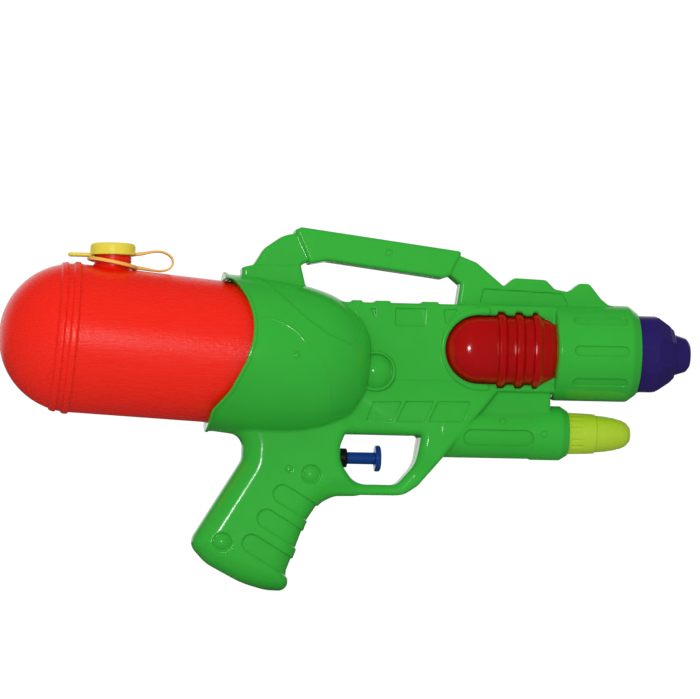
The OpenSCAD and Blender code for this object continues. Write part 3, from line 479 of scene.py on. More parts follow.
RAIL = [(120, 120, 1), (225, 120, 2), (224, 131.5, 3), (220, 132.8, 3), (215, 136.8, 3), (207.3, 146.3, 3.5),
        (200.6, 146.3, 3.5), (196, 142.3, 2.5), (193, 140.9, 2), (185, 142.2, 3), (179, 148.1, 4),
        (158.3, 148.9, 4), (151.8, 143.3, 1), (134, 158.2, 10), (120, 163.5, 3), (115.5, 150.5, 2),
        (123.4, 143.9, 1)]
WEB = [(130, 56, 1), (182.6, 56, 1), (182.6, 80, 1), (145, 80, 1)]
PLATES = {"grip": GRIP, "body": BODY, "trigger": TRIGGER_HOLE, "rear_arm": REAR_ARM, "sleeve": SLEEVE,
          "rail": RAIL, "web": WEB}
charts = {name: Chart(rounded(corners)) for name, corners in PLATES.items()}
print(len(charts), "plates drawn")

# %% [markdown]
# ### Turned profiles and the cowl's edge
# The barrel and the lower tube are turned, so each is drawn as a profile: x along its axis, then the
# radius. The cowl's rear edge sweeps round the tank, and its outline holds everything that is cut away
# behind it.

# %% Turned profiles
BARREL = [(184.2, 0, 1), (239, 0, 1), (239, 26.6, 1), (233, 31, 3), (184.2, 31, 2)]
TUBE = [(112, 0, 1), (195, 0, 1), (195, 14.4, 1), (190, 17.5, 2), (171, 17.5, 0.6), (170.6, 16.9, 0.4),
        (112, 16.9, 1)]
COWL_REAR = [(-15.4, 92.5, 1), (-40, 112, 1), (-28.4, 143, 1), (-28.4, 200, 1), (-200, 200, 1), (-200, 20, 1),
             (-38.2, 20, 1), (-38.2, 48, 3), (-36.4, 59.5, 6), (-26, 71.5, 12)]
for name, corners in (("barrel", BARREL), ("tube", TUBE), ("cowl_rear", COWL_REAR)):
    charts[name] = Chart(rounded(corners))
print(len(charts), "outlines drawn")

# %% [markdown]
# ### Panels, leaf and crease
# A toy's side is livened up with shallow panels. They cost nothing in a mould and stiffen the wall. Six
# panels lie in the body plate and one in the top rail, a leaf-shaped dip runs over the cowl, and a raised
# crease goes down it.

# %% Relief outlines
PANELS = [[(80.7, 115.8, 1), (100.7, 115.8, 1), (100.7, 127.6, 1), (80.7, 127.6, 1)],
          [(63, 54.8, 1), (79.9, 54.6, 1), (86.4, 68.1, 1), (67.6, 67.6, 1)],
          [(81.9, 54.6, 1), (100.5, 54.8, 1), (107.1, 68.6, 1), (88.4, 68.2, 1)],
          [(102.5, 54.9, 1), (125.1, 55.3, 1), (130.6, 68.8, 1), (109.1, 68.6, 1)],
          [(111.6, 127.2, 1), (113.4, 116.1, 1), (122.5, 128.1, 1)],
          [(64, 127, 0.5), (68.6, 120, 0.5), (68.6, 127.2, 0.5)]]
LEAF = [(-4.7, 143.2, 1), (5.2, 133.2, 9), (21.2, 117.9, 30), (35.5, 108, 30), (52.5, 101, 4), (57.6, 107, 8),
        (59.2, 115, 8), (57.5, 122.5, 8), (51, 133, 10), (40, 145, 10), (20, 158, 1), (-4.7, 158, 1)]
CREASE = [(-10, 116.3), (-4.2, 117.8), (4.2, 115.7), (13.8, 110.5), (20.9, 102.9), (28.2, 95.4), (33.1, 86.7),
          (36.5, 75.4), (40.1, 58.3)]
RAIL_PLATE = [(138, 141.7, 1), (135.7, 131.5, 1), (194.6, 130.2, 1), (189.6, 139.7, 1)]
CREASE_STEPS = 5
panel_charts = [Chart(rounded(corners)) for corners in PANELS]
charts["leaf"] = Chart(rounded(LEAF))
charts["rail_plate"] = Chart(rounded(RAIL_PLATE))
charts["crease"] = Chart(curve_through(CREASE, CREASE_STEPS), closed=False)
print(len(panel_charts), "panels drawn")

# %% [markdown]
# ### Cowl
# The cowl is a tube round the tank that swells and closes in a full front. A ball would be too pointed
# there, so the front is a superellipse, whose power sets how square its shoulder is. Its field is divided
# by its own slope, which turns it into a distance. The cowl leans with the tank, nose down, so that the
# water runs to the tank's outlet.

# %% Cowl
TANK_TILT = math.radians(4.2)
DOME = (-122.9, 104.3)
COWL_R, COWL_REACH, COWL_POWER, COWL_FLATTEST = 50.0, 80.2, 2.75, 1e-4
COWL_ORIGIN, COWL_START = 95.2, 15.0
COWL_RIM, COWL_RIM_RUN = 1.0, 6.0
LEAF_DEPTH, LEAF_FLANK = 0.9, 0.9
CREASE_H, CREASE_HALF, CREASE_FLANK = 0.3, 0.9, 0.9


def tank_axis(x, z):
    """How far along the tank's axis a point lies, and how far above it in the side view."""
    dx = x - DOME[0]
    dz = z - DOME[1]
    along = dx * math.cos(TANK_TILT) - dz * math.sin(TANK_TILT)
    above = dx * math.sin(TANK_TILT) + dz * math.cos(TANK_TILT)
    return along, above


def cowl_form(x, w, z):
    """The swollen cowl round the tank: a tube that closes in a full, rounded front."""
    along, above = tank_axis(x, z)
    along = along - COWL_ORIGIN
    out = np.hypot(w, above)
    s = np.maximum(along - COWL_START, 0) / COWL_REACH
    q = out / COWL_R
    size = (s ** COWL_POWER + q ** COWL_POWER) ** (1 / COWL_POWER) + SMALL
    steep = np.hypot((s / size) ** (COWL_POWER - 1) / COWL_REACH, (q / size) ** (COWL_POWER - 1) / COWL_R)
    rim = COWL_RIM * ramp(along, COWL_RIM_RUN)
    leaf = LEAF_DEPTH * ramp(charts["leaf"](x, z), LEAF_FLANK)
    crease = CREASE_H * ramp(charts["crease"](x, z) - CREASE_HALF, CREASE_FLANK)
    return (size - 1) / np.maximum(steep, COWL_FLATTEST) - rim + leaf - crease


print("cowl of radius", COWL_R)

# %% [markdown]
# ### Barrel
# The barrel is a turned form with three long slots on each side, a help to the grip of the hand that
# steadies it. They are laid out on the unrolled surface, where a slot is a line with a radius.

# %% Barrel
FLANK = 0.65
BARREL_Z, BARREL_R = 102.0, 31.0
SLOT_X = (198.0, 226.5)
SLOT_HALF, SLOT_DEPTH = 3.5, 1.1
SLOT_ANGLES = (-40, 0, 40)


def stadium(x, z, start, run, radius):
    """The distance to a slot with round ends, from start along run."""
    share = np.clip(((x - start[0]) * run[0] + (z - start[1]) * run[1]) / (run[0] ** 2 + run[1] ** 2), 0, 1)
    return np.hypot(x - start[0] - share * run[0], z - start[1] - share * run[1]) - radius


def barrel_form(x, w, z):
    """The barrel with its rounded slots."""
    form = charts["barrel"](x, np.hypot(w, z - BARREL_Z))
    angle = np.degrees(np.arctan2(z - BARREL_Z, w))
    for middle in SLOT_ANGLES:
        across = np.radians(angle - middle) * BARREL_R
        slot = stadium(x, across, (SLOT_X[0], 0), (SLOT_X[1] - SLOT_X[0], 0), SLOT_HALF)
        form = form + SLOT_DEPTH * ramp(slot, FLANK)
    return form


print(len(SLOT_ANGLES), "slots a side")

# %% [markdown]
# ### Chamber and window
# The dark red chamber is a capsule with three ribs. The shells close round it, so the window's edge is the
# capsule itself at some distance from the middle plane, ribs and all. Towards the barrel the window ends in
# a curve of its own. The chamber's form is needed here, before its own mesh, because the shells are cut to
# it.

# %% Chamber's side view
POD_X0, POD_X1, POD_Z, POD_R, POD_POWER = 135.5, 173.5, 102.1, 22.8, 2.7
POD_RIBS, POD_RIB = (149.4, 160.8, 172.2), 2.2
RIB_BEHIND, RIB_BEHIND_FLANK, RIB_AHEAD, RIB_AHEAD_FLANK = 3.0, 1.4, 4.4, 3.4
POD_CUT, POD_TOUCH = 186.0, 10.0
WINDOW_HALF = [(100, 30, 1), (173.1, 30, 1), (173.1, 21.8, 0.5), (178.4, 19.8, 7), (181.7, 15.4, 9),
               (183.6, 7.5, 25)]
WINDOW_CORNER = 1.5
window_upper = [(x, POD_Z + z, radius) for x, z, radius in WINDOW_HALF]
window_lower = [(x, POD_Z - z, radius) for x, z, radius in reversed(WINDOW_HALF)]
charts["window"] = Chart(rounded(window_upper + window_lower))


def pod_side(x, w, z):
    """The capsule with its ribs, a little fuller than round, at a distance w from the parting plane."""
    out = np.hypot(x - np.clip(x, POD_X0, POD_X1), z - POD_Z)
    ribs = sum(ramp(at - x - RIB_BEHIND, RIB_BEHIND_FLANK) * ramp(x - at - RIB_AHEAD, RIB_AHEAD_FLANK)
               for at in POD_RIBS)
    return (out ** POD_POWER + np.abs(w) ** POD_POWER) ** (1 / POD_POWER) - POD_R - POD_RIB * ribs


def window(x, z):
    """The window in the side view: the capsule where the shell's edge meets it, ended by its curve."""
    return within(pod_side(x, POD_TOUCH, z), charts["window"](x, z), WINDOW_CORNER)


print("window of", len(window_upper + window_lower), "corners")

# %% [markdown]
# ### Buttons, hub and flutes
# Small domes in round dishes mark the ends of the mould's pins. A larger dome in a ring looks like a pivot,
# and three flutes on the grip are for the fingers. All of them are heights that are added to a face or
# taken from it.

# %% Small marks
GRIP_DOMES, DOME_R = [(28.8, 20.4), (-27, -23.4)], 6.6
PIPS, PIP_R = [(15.2, 94.4), (14.8, 23.4), (76.7, 162.6), (151.3, 57), (178.1, 48.5)], 2.6
BUTTON_W, BUTTON_H, BUTTON_DISH = 0.78, 0.25, 0.2
HUB, HUB_R = (68.8, 86.8), 13.2
HUB_RING, HUB_RING_H, HUB_RING_FLANK = 2.8, 1.8, 0.8
HUB_DOME, HUB_DOME_H = 10.2, 3.8
FLUTES = [(10.7, 7.6), (0.8, -8.1), (-8.5, -24.1)]
FLUTE_RUN, FLUTE_R = (30, -17.8), 6.4
FLUTE_DEPTH, FLUTE_FLANK = 1.1, 1.0


def dome(out, radius, height):
    """The height of a shallow round dome at a distance from its middle."""
    return height * np.maximum(1 - (out / radius) ** 2, 0)


def button(x, z, place, radius):
    """The height of a small dome that sits in a round dish."""
    out = np.hypot(x - place[0], z - place[1])
    dish = BUTTON_DISH * radius * ramp(out - radius, BUTTON_DISH * radius)
    return dome(out, BUTTON_W * radius, BUTTON_H * radius) - dish


def hub_height(x, z):
    """The height of the pivot's look: a dome inside a raised ring."""
    out = np.hypot(x - HUB[0], z - HUB[1])
    ring = ramp(np.abs(out - HUB_R + HUB_RING / 2) - HUB_RING / 2, HUB_RING_FLANK)
    return HUB_RING_H * ring + dome(out, HUB_DOME, HUB_DOME_H)


def flute_depth(x, z, start):
    """A finger flute: a shallow slot with a round end that runs out at the grip's front edge."""
    return FLUTE_DEPTH * ramp(stadium(x, z, start, FLUTE_RUN, FLUTE_R), FLUTE_FLANK)


print(len(GRIP_DOMES) + len(PIPS), "buttons and", len(FLUTES), "flutes")

# %% [markdown]
# ### Body plate
# The plate's face isn't flat. It swells below a crease line that runs forward from the hub, and it falls
# away behind the hub, where it meets the cowl. Its panels are sunk, and three low steps stand on its top
# edge.

# %% Body plate
BODY_HALF, BODY_EDGE = 15.0, 3.0
RELIEF = 0.9
SWELL_H, SWELL_TOP, SWELL_RISE, SWELL_REAR, SWELL_RUN = 2.3, 82.0, 22.0, 20.0, 110.0
LINE_DEPTH, LINE_FLANK, LINE_FOOT, LINE_FADE, LINE_END = 0.7, 0.4, 72.0, 10.0, 0.6
FALL_H, FALL_PLACE, FALL_WAY, FALL_RUN = 4.5, (66.0, 68.0), (0.6, 0.8), 22.0
BUMPS = [(53, 60), (68, 78), (98, 109)]
BUMP_TOP, BUMP_FOOT, BUMP_INSET, BUMP_CORNER, BUMP_EDGE, BUMP_FILLET = 132.0, 120.0, 1.0, 0.8, 2.0, 0.6


def body_form(x, w, z):
    """The body plate with its swell, its panels and the small steps on its top edge."""
    dips = sum(ramp(chart(x, z), FLANK) for chart in panel_charts)
    swell = ramp(z - SWELL_TOP, SWELL_RISE) * ramp(SWELL_REAR - x, SWELL_RUN)
    hub_edge = ramp(HUB_R - np.hypot(x - HUB[0], z - HUB[1]), LINE_END)
    line = LINE_DEPTH * ramp(z - SWELL_TOP, LINE_FLANK) * ramp(LINE_FOOT - z, LINE_FADE) * hub_edge
    way = FALL_WAY[0] * (x - FALL_PLACE[0]) + FALL_WAY[1] * (z - FALL_PLACE[1])
    fall = FALL_H * ramp(way, FALL_RUN)
    face = BODY_HALF - RELIEF * dips + SWELL_H * swell - line - fall + hub_height(x, z)
    form = within(charts["body"](x, z), w - face, BODY_EDGE)
    for start, end in BUMPS:
        step = within(np.abs(x - (start + end) / 2) - (end - start) / 2, z - BUMP_TOP, BUMP_CORNER)
        step = within(np.maximum(step, BUMP_FOOT - z), w - BODY_HALF + BUMP_INSET, BUMP_EDGE)
        form = joined(form, step, BUMP_FILLET)
    return form


print("body plate with", len(BUMPS), "steps")

# %% [markdown]
# ### The outer form
# Here the plates get their thickness and everything is joined. A plate's edge is rounded to a radius,
# largest on the grip, which has to be kind to a hand. Each join has its own fillet: soft where the grip
# grows out of the body, sharp where a sleeve only sits on the handle's arms.

# %% Outer form
GRIP_HALF, ARM_HALF, SLEEVE_HALF, WEB_HALF = 15.5, 9.0, 10.5, 12.0
GRIP_EDGE, PLATE_EDGE, WEB_EDGE = 13.0, 2.5, 2.0
BODY_FILLET, COWL_FILLET, FILLET, ARM_FILLET, THIN_FILLET = 4.0, 1.6, 1.5, 1.2, 0.6
WINDOW_RIM, WINDOW_RIM_R, WINDOW_RIM_END, WINDOW_RIM_H = (137.2, 102.5), 26.7, 142.0, 1.2
TUBE_Z = 50.0
TUBE_SLOT, TUBE_SLOT_DEPTH = ((131.1, 45.7), (34.9, 0), 5.4), 1.2
ARM_STEP_H, ARM_STEP_Z = 0.6, 153.5


def shell_masses(x, w, z):
    """The outer form of one shell before the holes, where w is the distance from the parting plane."""
    flutes = sum(flute_depth(x, z, start) for start in FLUTES)
    domes = sum(button(x, z, place, DOME_R) for place in GRIP_DOMES)
    form = within(charts["grip"](x, z), w - GRIP_HALF, GRIP_EDGE) + flutes - domes
    rim = np.hypot(x - WINDOW_RIM[0], z - WINDOW_RIM[1]) - WINDOW_RIM_R
    rim = within(np.maximum(rim, x - WINDOW_RIM_END), w - BODY_HALF - WINDOW_RIM_H, WINDOW_RIM_H)
    web = within(charts["web"](x, z), w - WEB_HALF, WEB_EDGE)
    sunk = RELIEF * ramp(charts["rail_plate"](x, z), FLANK)
    rail = within(charts["rail"](x, z), w - ARM_HALF + sunk, PLATE_EDGE)
    slot = TUBE_SLOT_DEPTH * ramp(stadium(x, z, *TUBE_SLOT), FLANK)
    tube = charts["tube"](x, np.hypot(w, z - TUBE_Z)) + slot
    step = ARM_STEP_H * ramp(z - ARM_STEP_Z, ARM_STEP_H)
    arm = within(charts["rear_arm"](x, z), w - ARM_HALF - step, PLATE_EDGE)
    sleeve = within(charts["sleeve"](x, z), w - SLEEVE_HALF, PLATE_EDGE)
    for mass, fillet in ((body_form(x, w, z), BODY_FILLET), (rim, THIN_FILLET), (web, FILLET),
                         (cowl_form(x, w, z), COWL_FILLET), (rail, FILLET), (barrel_form(x, w, z), FILLET),
                         (tube, ARM_FILLET), (arm, ARM_FILLET), (sleeve, THIN_FILLET)):
        form = joined(form, mass, fillet)
    return form - sum(button(x, z, place, PIP_R) for place in PIPS)


print("shell plates are", 2 * BODY_HALF, "mm thick at the body")

# %% [markdown]
# ### One hollow shell
# The holes are cut from the outer form with rounded edges, and then a smaller copy of it is taken out,
# which leaves an even wall. The cowl's edge gets a collar outside and a thicker lip inside. The nozzle, the
# tip, the gland and the chamber each need a way through the wall, and a screw needs a well, a tube of
# plastic that stands inside.

# %% Shell with its holes
WALL, GAP = 2.2, 0.05
COWL_NOTCH, COWL_NOTCH_R, COWL_NOTCH_TOP, COWL_NOTCH_EDGE = (-58.0, 112.0), 46.0, 143.2, 1.0
COLLAR_H, COLLAR_W, COLLAR_FLANK = 0.6, 2.4, 0.8
LIP_H, LIP_W, LIP_RUN = 3.0, 7.0, 5.0
HOLE_EDGE, WINDOW_EDGE, REAR_EDGE, PARTING_EDGE = 5.0, 2.2, 0.8, 0.3
MUZZLE_R, MUZZLE_X = 25.4, 231.0
TIP_WAY_R, TIP_WAY_X = 13.55, 188.0
PUMP_Z = 31.5
GLAND_WAY_R, GLAND_WAY_X, GLAND_WAY_HALF = 6.35, 48.0, 8.0
SCREW_SEAT, SCREW_WAY_R, BOSS_WALL, BOSS_FOOT, WELL_EDGE = 5.0, 3.3, 1.6, 2.0, 0.6


def shell_form(x, w, z, screws=()):
    """One whole shell: the outer form with its holes, hollowed to an even wall, with wells for screws."""
    masses = shell_masses(x, w, z)
    hole = charts["trigger"](x, z)
    view = window(x, z)
    notch = np.hypot(x - COWL_NOTCH[0], z - COWL_NOTCH[1]) - COWL_NOTCH_R
    notch = within(notch, z - COWL_NOTCH_TOP, COWL_NOTCH_EDGE)
    rear = np.minimum(charts["cowl_rear"](x, z), notch)
    collar = COLLAR_H * ramp(rear - COLLAR_W, COLLAR_FLANK)
    outer = within(masses - collar, -hole, HOLE_EDGE)
    outer = within(outer, -view, WINDOW_EDGE)
    outer = within(outer, -rear, REAR_EDGE)
    lip = LIP_H * ramp(rear - LIP_W, LIP_RUN)
    cavity = np.maximum(np.maximum(masses + WALL + lip, WALL - hole), WALL - view)
    form = np.maximum(outer, -cavity)
    muzzle = np.maximum(np.hypot(w, z - BARREL_Z) - MUZZLE_R, MUZZLE_X - x)
    tip_way = np.maximum(np.hypot(w, z - TUBE_Z) - TIP_WAY_R, TIP_WAY_X - x)
    gland_way = np.maximum(np.hypot(w, z - PUMP_Z) - GLAND_WAY_R, np.abs(x - GLAND_WAY_X) - GLAND_WAY_HALF)
    seat = np.maximum(pod_side(x, w, z), x - POD_CUT) - GAP
    for way in (muzzle, tip_way, gland_way, seat):
        form = np.maximum(form, -way)
    for screw_x, screw_z in screws:
        way = np.hypot(x - screw_x, z - screw_z) - SCREW_WAY_R
        boss = np.maximum(np.maximum(way - BOSS_WALL, masses), SCREW_SEAT - BOSS_FOOT - w)
        form = within(np.minimum(form, boss), -np.maximum(way, SCREW_SEAT - w), WELL_EDGE)
    return within(form, -w, PARTING_EDGE)


print("shell wall", WALL, "mm")

# %% [markdown]
# ### The two halves
# The halves are mirror images that meet at the middle plane. The screws go in from the left, the side
# turned away in the picture, so only the left half has their wells. One function makes both: a half is told
# how far a point lies from the middle plane, on its own side.

# %% Make the halves
SCREWS = [(-23, -24.5), (29, 18), (70, 87.4), (76, 162), (8, 162), (131, 141), (109, 38), (207, 79.5)]
SHELL_LOW = (-47, -52, -56)
SHELL_HIGH = (240, 0.8, 179)
SHELL_CELL = 0.65
left_low = (SHELL_LOW[0], -SHELL_HIGH[1], SHELL_LOW[2])
left_high = (SHELL_HIGH[0], -SHELL_LOW[1], SHELL_HIGH[2])


def right_form(x, y, z):
    """The right half, which lies at negative y."""
    return shell_form(x, -y, z)


def left_form(x, y, z):
    """The left half, with the wells."""
    return shell_form(x, y, z, SCREWS)


right = solid_from("right_shell_moulding", right_form, SHELL_LOW, SHELL_HIGH, SHELL_CELL)
stands_for(right, "gun", "right_shell", shell_green)
left = solid_from("left_shell_moulding", left_form, left_low, left_high, SHELL_CELL)
stands_for(left, "gun", "left_shell", shell_green)

# %% [markdown]
# ## The tank
# A blown bottle lying on its side: a domed end, a straight wall that narrows a little towards the front,
# two stiffening beads at the dome's edge, and a filler neck on top. It could be a spun profile with the neck
# joined by a boolean. As a field the neck grows out of the wall with a fillet, as a blown one does. It is
# hollow, because water goes in it.

# %% Make the tank
TANK_R, TANK_TAPER, TANK_L, TANK_NOSE, TANK_WALL = 47.3, 3.0, 140.0, 27.0, 1.6
TANK_BEADS = (-9.6, -1.6)
BEAD_W, BEAD_H, BEAD_FLANK = 5.6, 1.2, 1.4
NECK_X, NECK_R, NECK_BORE, NECK_FOOT, NECK_TOP, NECK_EDGE = -99.0, 11.6, 9.8, 130.0, 162.6, 0.5
NECK_RIDGES = (153.6, 155.6, 160.7)
RIDGE_H, RIDGE_HALF, RIDGE_FLANK = 0.5, 0.7, 0.5
OUTLET_R, OUTLET_BORE, OUTLET_Z, OUTLET_ROOT, OUTLET_EDGE = 4.0, 2.5, 45.0, 62.0, 0.4
NECK_FILLET, OUTLET_FILLET = 2.0, 1.5
TANK_LOW, TANK_HIGH, TANK_CELL = (-172, -50, 43), (46, 50, 164), 1.0


def tank_skin(along, out):
    """The bottle's turned form."""
    radius = TANK_R - TANK_TAPER * np.clip(along / TANK_L, 0, 1)
    front = TANK_R - TANK_TAPER
    ball = np.hypot(np.minimum(along, 0), out) - TANK_R
    nose = (np.hypot(np.maximum(along - TANK_L, 0) / TANK_NOSE * front, out) - front) * TANK_NOSE / front
    body = np.where(along < 0, ball, np.where(along > TANK_L, nose, out - radius))
    beads = sum(ramp(np.abs(along - middle) - BEAD_W / 2, BEAD_FLANK) for middle in TANK_BEADS)
    return body - BEAD_H * beads


def tank_form(x, y, z):
    """The tank with its neck and outlet, hollow."""
    along, above = tank_axis(x, z)
    skin = tank_skin(along, np.hypot(y, above))
    neck_out = np.hypot(x - NECK_X, y)
    ridges = sum(RIDGE_H * ramp(np.abs(z - at) - RIDGE_HALF, RIDGE_FLANK) for at in NECK_RIDGES)
    neck = within(neck_out - NECK_R - ridges, np.maximum(z - NECK_TOP, NECK_FOOT - z), NECK_EDGE)
    spigot = within(np.hypot(x, y) - OUTLET_R, np.maximum(OUTLET_Z - z, z - OUTLET_ROOT), OUTLET_EDGE)
    outer = joined(joined(skin, neck, NECK_FILLET), spigot, OUTLET_FILLET)
    bore = np.maximum(neck_out - NECK_BORE, NECK_FOOT - z)
    drain = np.maximum(np.hypot(x, y) - OUTLET_BORE, z - OUTLET_ROOT)
    inside = np.minimum(np.minimum(skin + TANK_WALL, bore), drain)
    return np.maximum(outer, -inside)


tank = solid_from("tank_bottle", tank_form, TANK_LOW, TANK_HIGH, TANK_CELL)
stands_for(tank, "gun", "tank", tank_red)

# %% [markdown]
# ## The ribbed chamber
# A capsule with three ribs round it, trapped between the halves and seen through a window on each side. The
# shells were cut to its side form, so the same form makes it here, hollowed and closed at the barrel's end.

# %% Make the chamber
POD_WALL = 1.8
POD_LOW, POD_HIGH, POD_CELL = (112, -26, 76), (187, 26, 129), 0.7


def chamber_form(x, y, z):
    """The capsule with its ribs, hollow, and cut off inside the barrel."""
    capsule = np.maximum(pod_side(x, y, z), x - POD_CUT)
    inside = np.sqrt((x - np.clip(x, POD_X0, POD_X1)) ** 2 + y ** 2 + (z - POD_Z) ** 2) - POD_R + POD_WALL
    return np.maximum(capsule, -np.maximum(inside, x - POD_CUT + POD_WALL))


chamber = solid_from("chamber_capsule", chamber_form, POD_LOW, POD_HIGH, POD_CELL)
stands_for(chamber, "gun", "chamber", chamber_red)

# %% [markdown]
# ## Nozzle
# The nozzle is an eight-sided stepped cone on a round base, with a round snout that has the water outlet. A
# cone with eight sides would do for the facets, but they have to fade into the round base, and the field
# does that by taking the larger of the two distances. A flange behind keeps the nozzle in the barrel.

# %% Make the nozzle
NOZZLE_R, NOZZLE_BACK, NOZZLE_X, NOZZLE_EDGE = 25.0, 230.0, 274.2, 0.6
NOZZLE_TIERS = [(241, 24.4), (250.8, 24.4), (260, 18.4), (263.8, 14.8)]
TIER_X = [x for x, radius in NOZZLE_TIERS]
TIER_R = [radius for x, radius in NOZZLE_TIERS]
FACET_TURNS = np.radians((0, 45, 90, 135))
FACET_LEAN, NOT_FACETED = 0.8, -9.0
FLANGE_R, FLANGE_X, FLANGE_HALF, FLANGE_EDGE = 27.4, 231.25, 1.25, 0.4
SNOUT_FILLET, FLANGE_FILLET = 0.5, 0.4
HOLLOW_X, HOLLOW_R = (246, 258), (22.4, 8.0)
NOZZLE_SNOUT = [(230, 0, 1), (274.2, 0, 1), (274.2, 8, 1), (272, 10.8, 1.5), (261.5, 14.2, 1), (230, 14.2, 1)]
OUTLET_HOLE_R, OUTLET_WELL_R, OUTLET_WELL = 1.0, 4.0, 2.0
NOZZLE_LOW, NOZZLE_HIGH, NOZZLE_CELL = (228, -29, 73), (276, 29, 131), 0.6
snout_chart = Chart(rounded(NOZZLE_SNOUT))


def nozzle_form(x, y, z):
    """The faceted cone, its flange and its snout, with the outlet and a hollow back."""
    up = z - BARREL_Z
    out = np.hypot(y, up)
    flats = np.max([np.abs(y * math.cos(a) + up * math.sin(a)) for a in FACET_TURNS], axis=0)
    lean = np.where(x < TIER_X[1], 1.0, FACET_LEAN)
    facets = np.maximum((flats - np.interp(x, TIER_X, TIER_R)) * lean, x - TIER_X[-1])
    base = np.maximum(out - NOZZLE_R, np.where(x < TIER_X[0], NOT_FACETED, facets))
    cone = within(base, np.maximum(NOZZLE_BACK - x, x - TIER_X[-1]), NOZZLE_EDGE)
    flange = within(out - FLANGE_R, np.abs(x - FLANGE_X) - FLANGE_HALF, FLANGE_EDGE)
    form = joined(joined(cone, snout_chart(x, out), SNOUT_FILLET), flange, FLANGE_FILLET)
    hollow = np.maximum(out - np.interp(x, HOLLOW_X, HOLLOW_R), x - HOLLOW_X[1])
    well = np.maximum(out - OUTLET_WELL_R, NOZZLE_X - OUTLET_WELL - x)
    hole = np.minimum(out - OUTLET_HOLE_R, well)
    return np.maximum(form, -np.minimum(hollow, hole))


nozzle = solid_from("nozzle_cone", nozzle_form, NOZZLE_LOW, NOZZLE_HIGH, NOZZLE_CELL)
stands_for(nozzle, "gun", "nozzle", nozzle_purple)

# %% [markdown]
# ## Tip of the lower tube
# The tip only looks like a second barrel. It turns on its flange inside the tube, and its fine flutes are
# there to grip. It is a turned form, and one flute is repeated round it by folding the angle into a single
# share of the turn.

# %% Make the tip
TIP_PROFILE = [(186.8, 0, 0.2), (236.8, 0, 0.2), (235.8, 4.6, 1), (233.4, 7.4, 1), (230.4, 9, 1),
               (225.2, 10.4, 1), (219, 11.4, 1), (213, 11.9, 0.1), (212.8, 12.6, 0.2), (209, 12.9, 0.2),
               (196, 13.35, 0.3), (189.2, 13.35, 0.2), (189.2, 14.8, 0.3), (186.8, 14.8, 0.3)]
TIP_FLUTES, TIP_FLUTE_R, TIP_FLUTE_AT, TIP_FLUTE_EDGE = 18, 1.1, 13.9, 0.3
TIP_FLUTE_X = (196.5, 204.5)
TIP_HOLLOW_X, TIP_HOLLOW_R = (210, 224), (10.95, 7.0)
TIP_LOW, TIP_HIGH, TIP_CELL = (185, -16, 33), (238.5, 16, 67), 0.4
tip_chart = Chart(rounded(TIP_PROFILE))


def tip_form(x, y, z):
    """The turned tip with its flutes and its hollow."""
    up = z - TUBE_Z
    out = np.hypot(y, up)
    share = 2 * math.pi / TIP_FLUTES
    turn = np.mod(np.arctan2(up, y) + share / 2, share) - share / 2
    flute = np.hypot(out * np.cos(turn) - TIP_FLUTE_AT, out * np.sin(turn)) - TIP_FLUTE_R
    middle = sum(TIP_FLUTE_X) / 2
    flute = np.maximum(flute, np.abs(x - middle) - (TIP_FLUTE_X[1] - TIP_FLUTE_X[0]) / 2)
    hollow = np.maximum(out - np.interp(x, TIP_HOLLOW_X, TIP_HOLLOW_R), x - TIP_HOLLOW_X[1])
    return np.maximum(within(tip_chart(x, out), -flute, TIP_FLUTE_EDGE), -hollow)


tip = solid_from("tip_turned", tip_form, TIP_LOW, TIP_HIGH, TIP_CELL)
stands_for(tip, "tip", "fluted_tip", tip_lime)

# %% [markdown]
# ## Trigger plunger and its gland
# The finger plate is a round button on a rod. Pulling it slides the rod through the black gland and drives
# the piston, as in a bicycle pump. Both are turned forms. The seal keeps its construction shape, so the
# plunger's groove is put where the seal's box is.

# %% Make the plunger and the gland
PLUNGER = [(33, 0, 0.2), (74.6, 0, 0.2), (74.6, 8.4, 1.5), (70.8, 8.4, 0.8), (70.8, 3.85, 0.8),
           (39.5, 3.85, 0.3), (39.5, 5.6, 0.3), (33, 5.6, 0.3)]
GLAND = [(40, 0, 0.2), (52.9, 0, 0.2), (52.9, 6.15, 0.6), (45, 6.15, 0.2), (45, 7.4, 0.3), (43, 7.4, 0.3),
         (43, 5.95, 0.2), (40, 5.95, 0.2)]
GLAND_BORE = 3.95
SEAL_GROOVE_R, SEAL_HALF = 4.2, 1.0
seal_low, seal_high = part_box("piston_seal")
seal_x = 0.5 * (seal_low[0] + seal_high[0]) / MM
PLUNGER_LOW, PLUNGER_HIGH = (32, -9, 22), (76, 9, 41)
GLAND_LOW, GLAND_HIGH = (39, -8, 23), (54, 8, 40)
TURNED_CELL = 0.35
plunger_chart = Chart(rounded(PLUNGER))
gland_chart = Chart(rounded(GLAND))
print("seal lies at", round(seal_x, 2), "mm")


def plunger_form(x, y, z):
    """The button, rod and piston, with the groove for the seal."""
    out = np.hypot(y, z - PUMP_Z)
    groove = np.maximum(SEAL_GROOVE_R - out, np.abs(x - seal_x) - SEAL_HALF)
    return np.maximum(plunger_chart(x, out), -groove)


def gland_form(x, y, z):
    """The gland with its bore."""
    out = np.hypot(y, z - PUMP_Z)
    return np.maximum(gland_chart(x, out), GLAND_BORE - out)


plunger = solid_from("plunger_turned", plunger_form, PLUNGER_LOW, PLUNGER_HIGH, TURNED_CELL)
stands_for(plunger, "trigger", "plunger", plunger_blue)
gland = solid_from("gland_turned", gland_form, GLAND_LOW, GLAND_HIGH, TURNED_CELL)
stands_for(gland, "gun", "pump_gland", gland_black)

# %% [markdown]
# ## Cap
# The cap is a push-on lid with a lip to press under and a small pull tab. It could be a bevelled cylinder
# with a box joined to it. As a field, its tab and lip melt into the lid as they do in a mould.

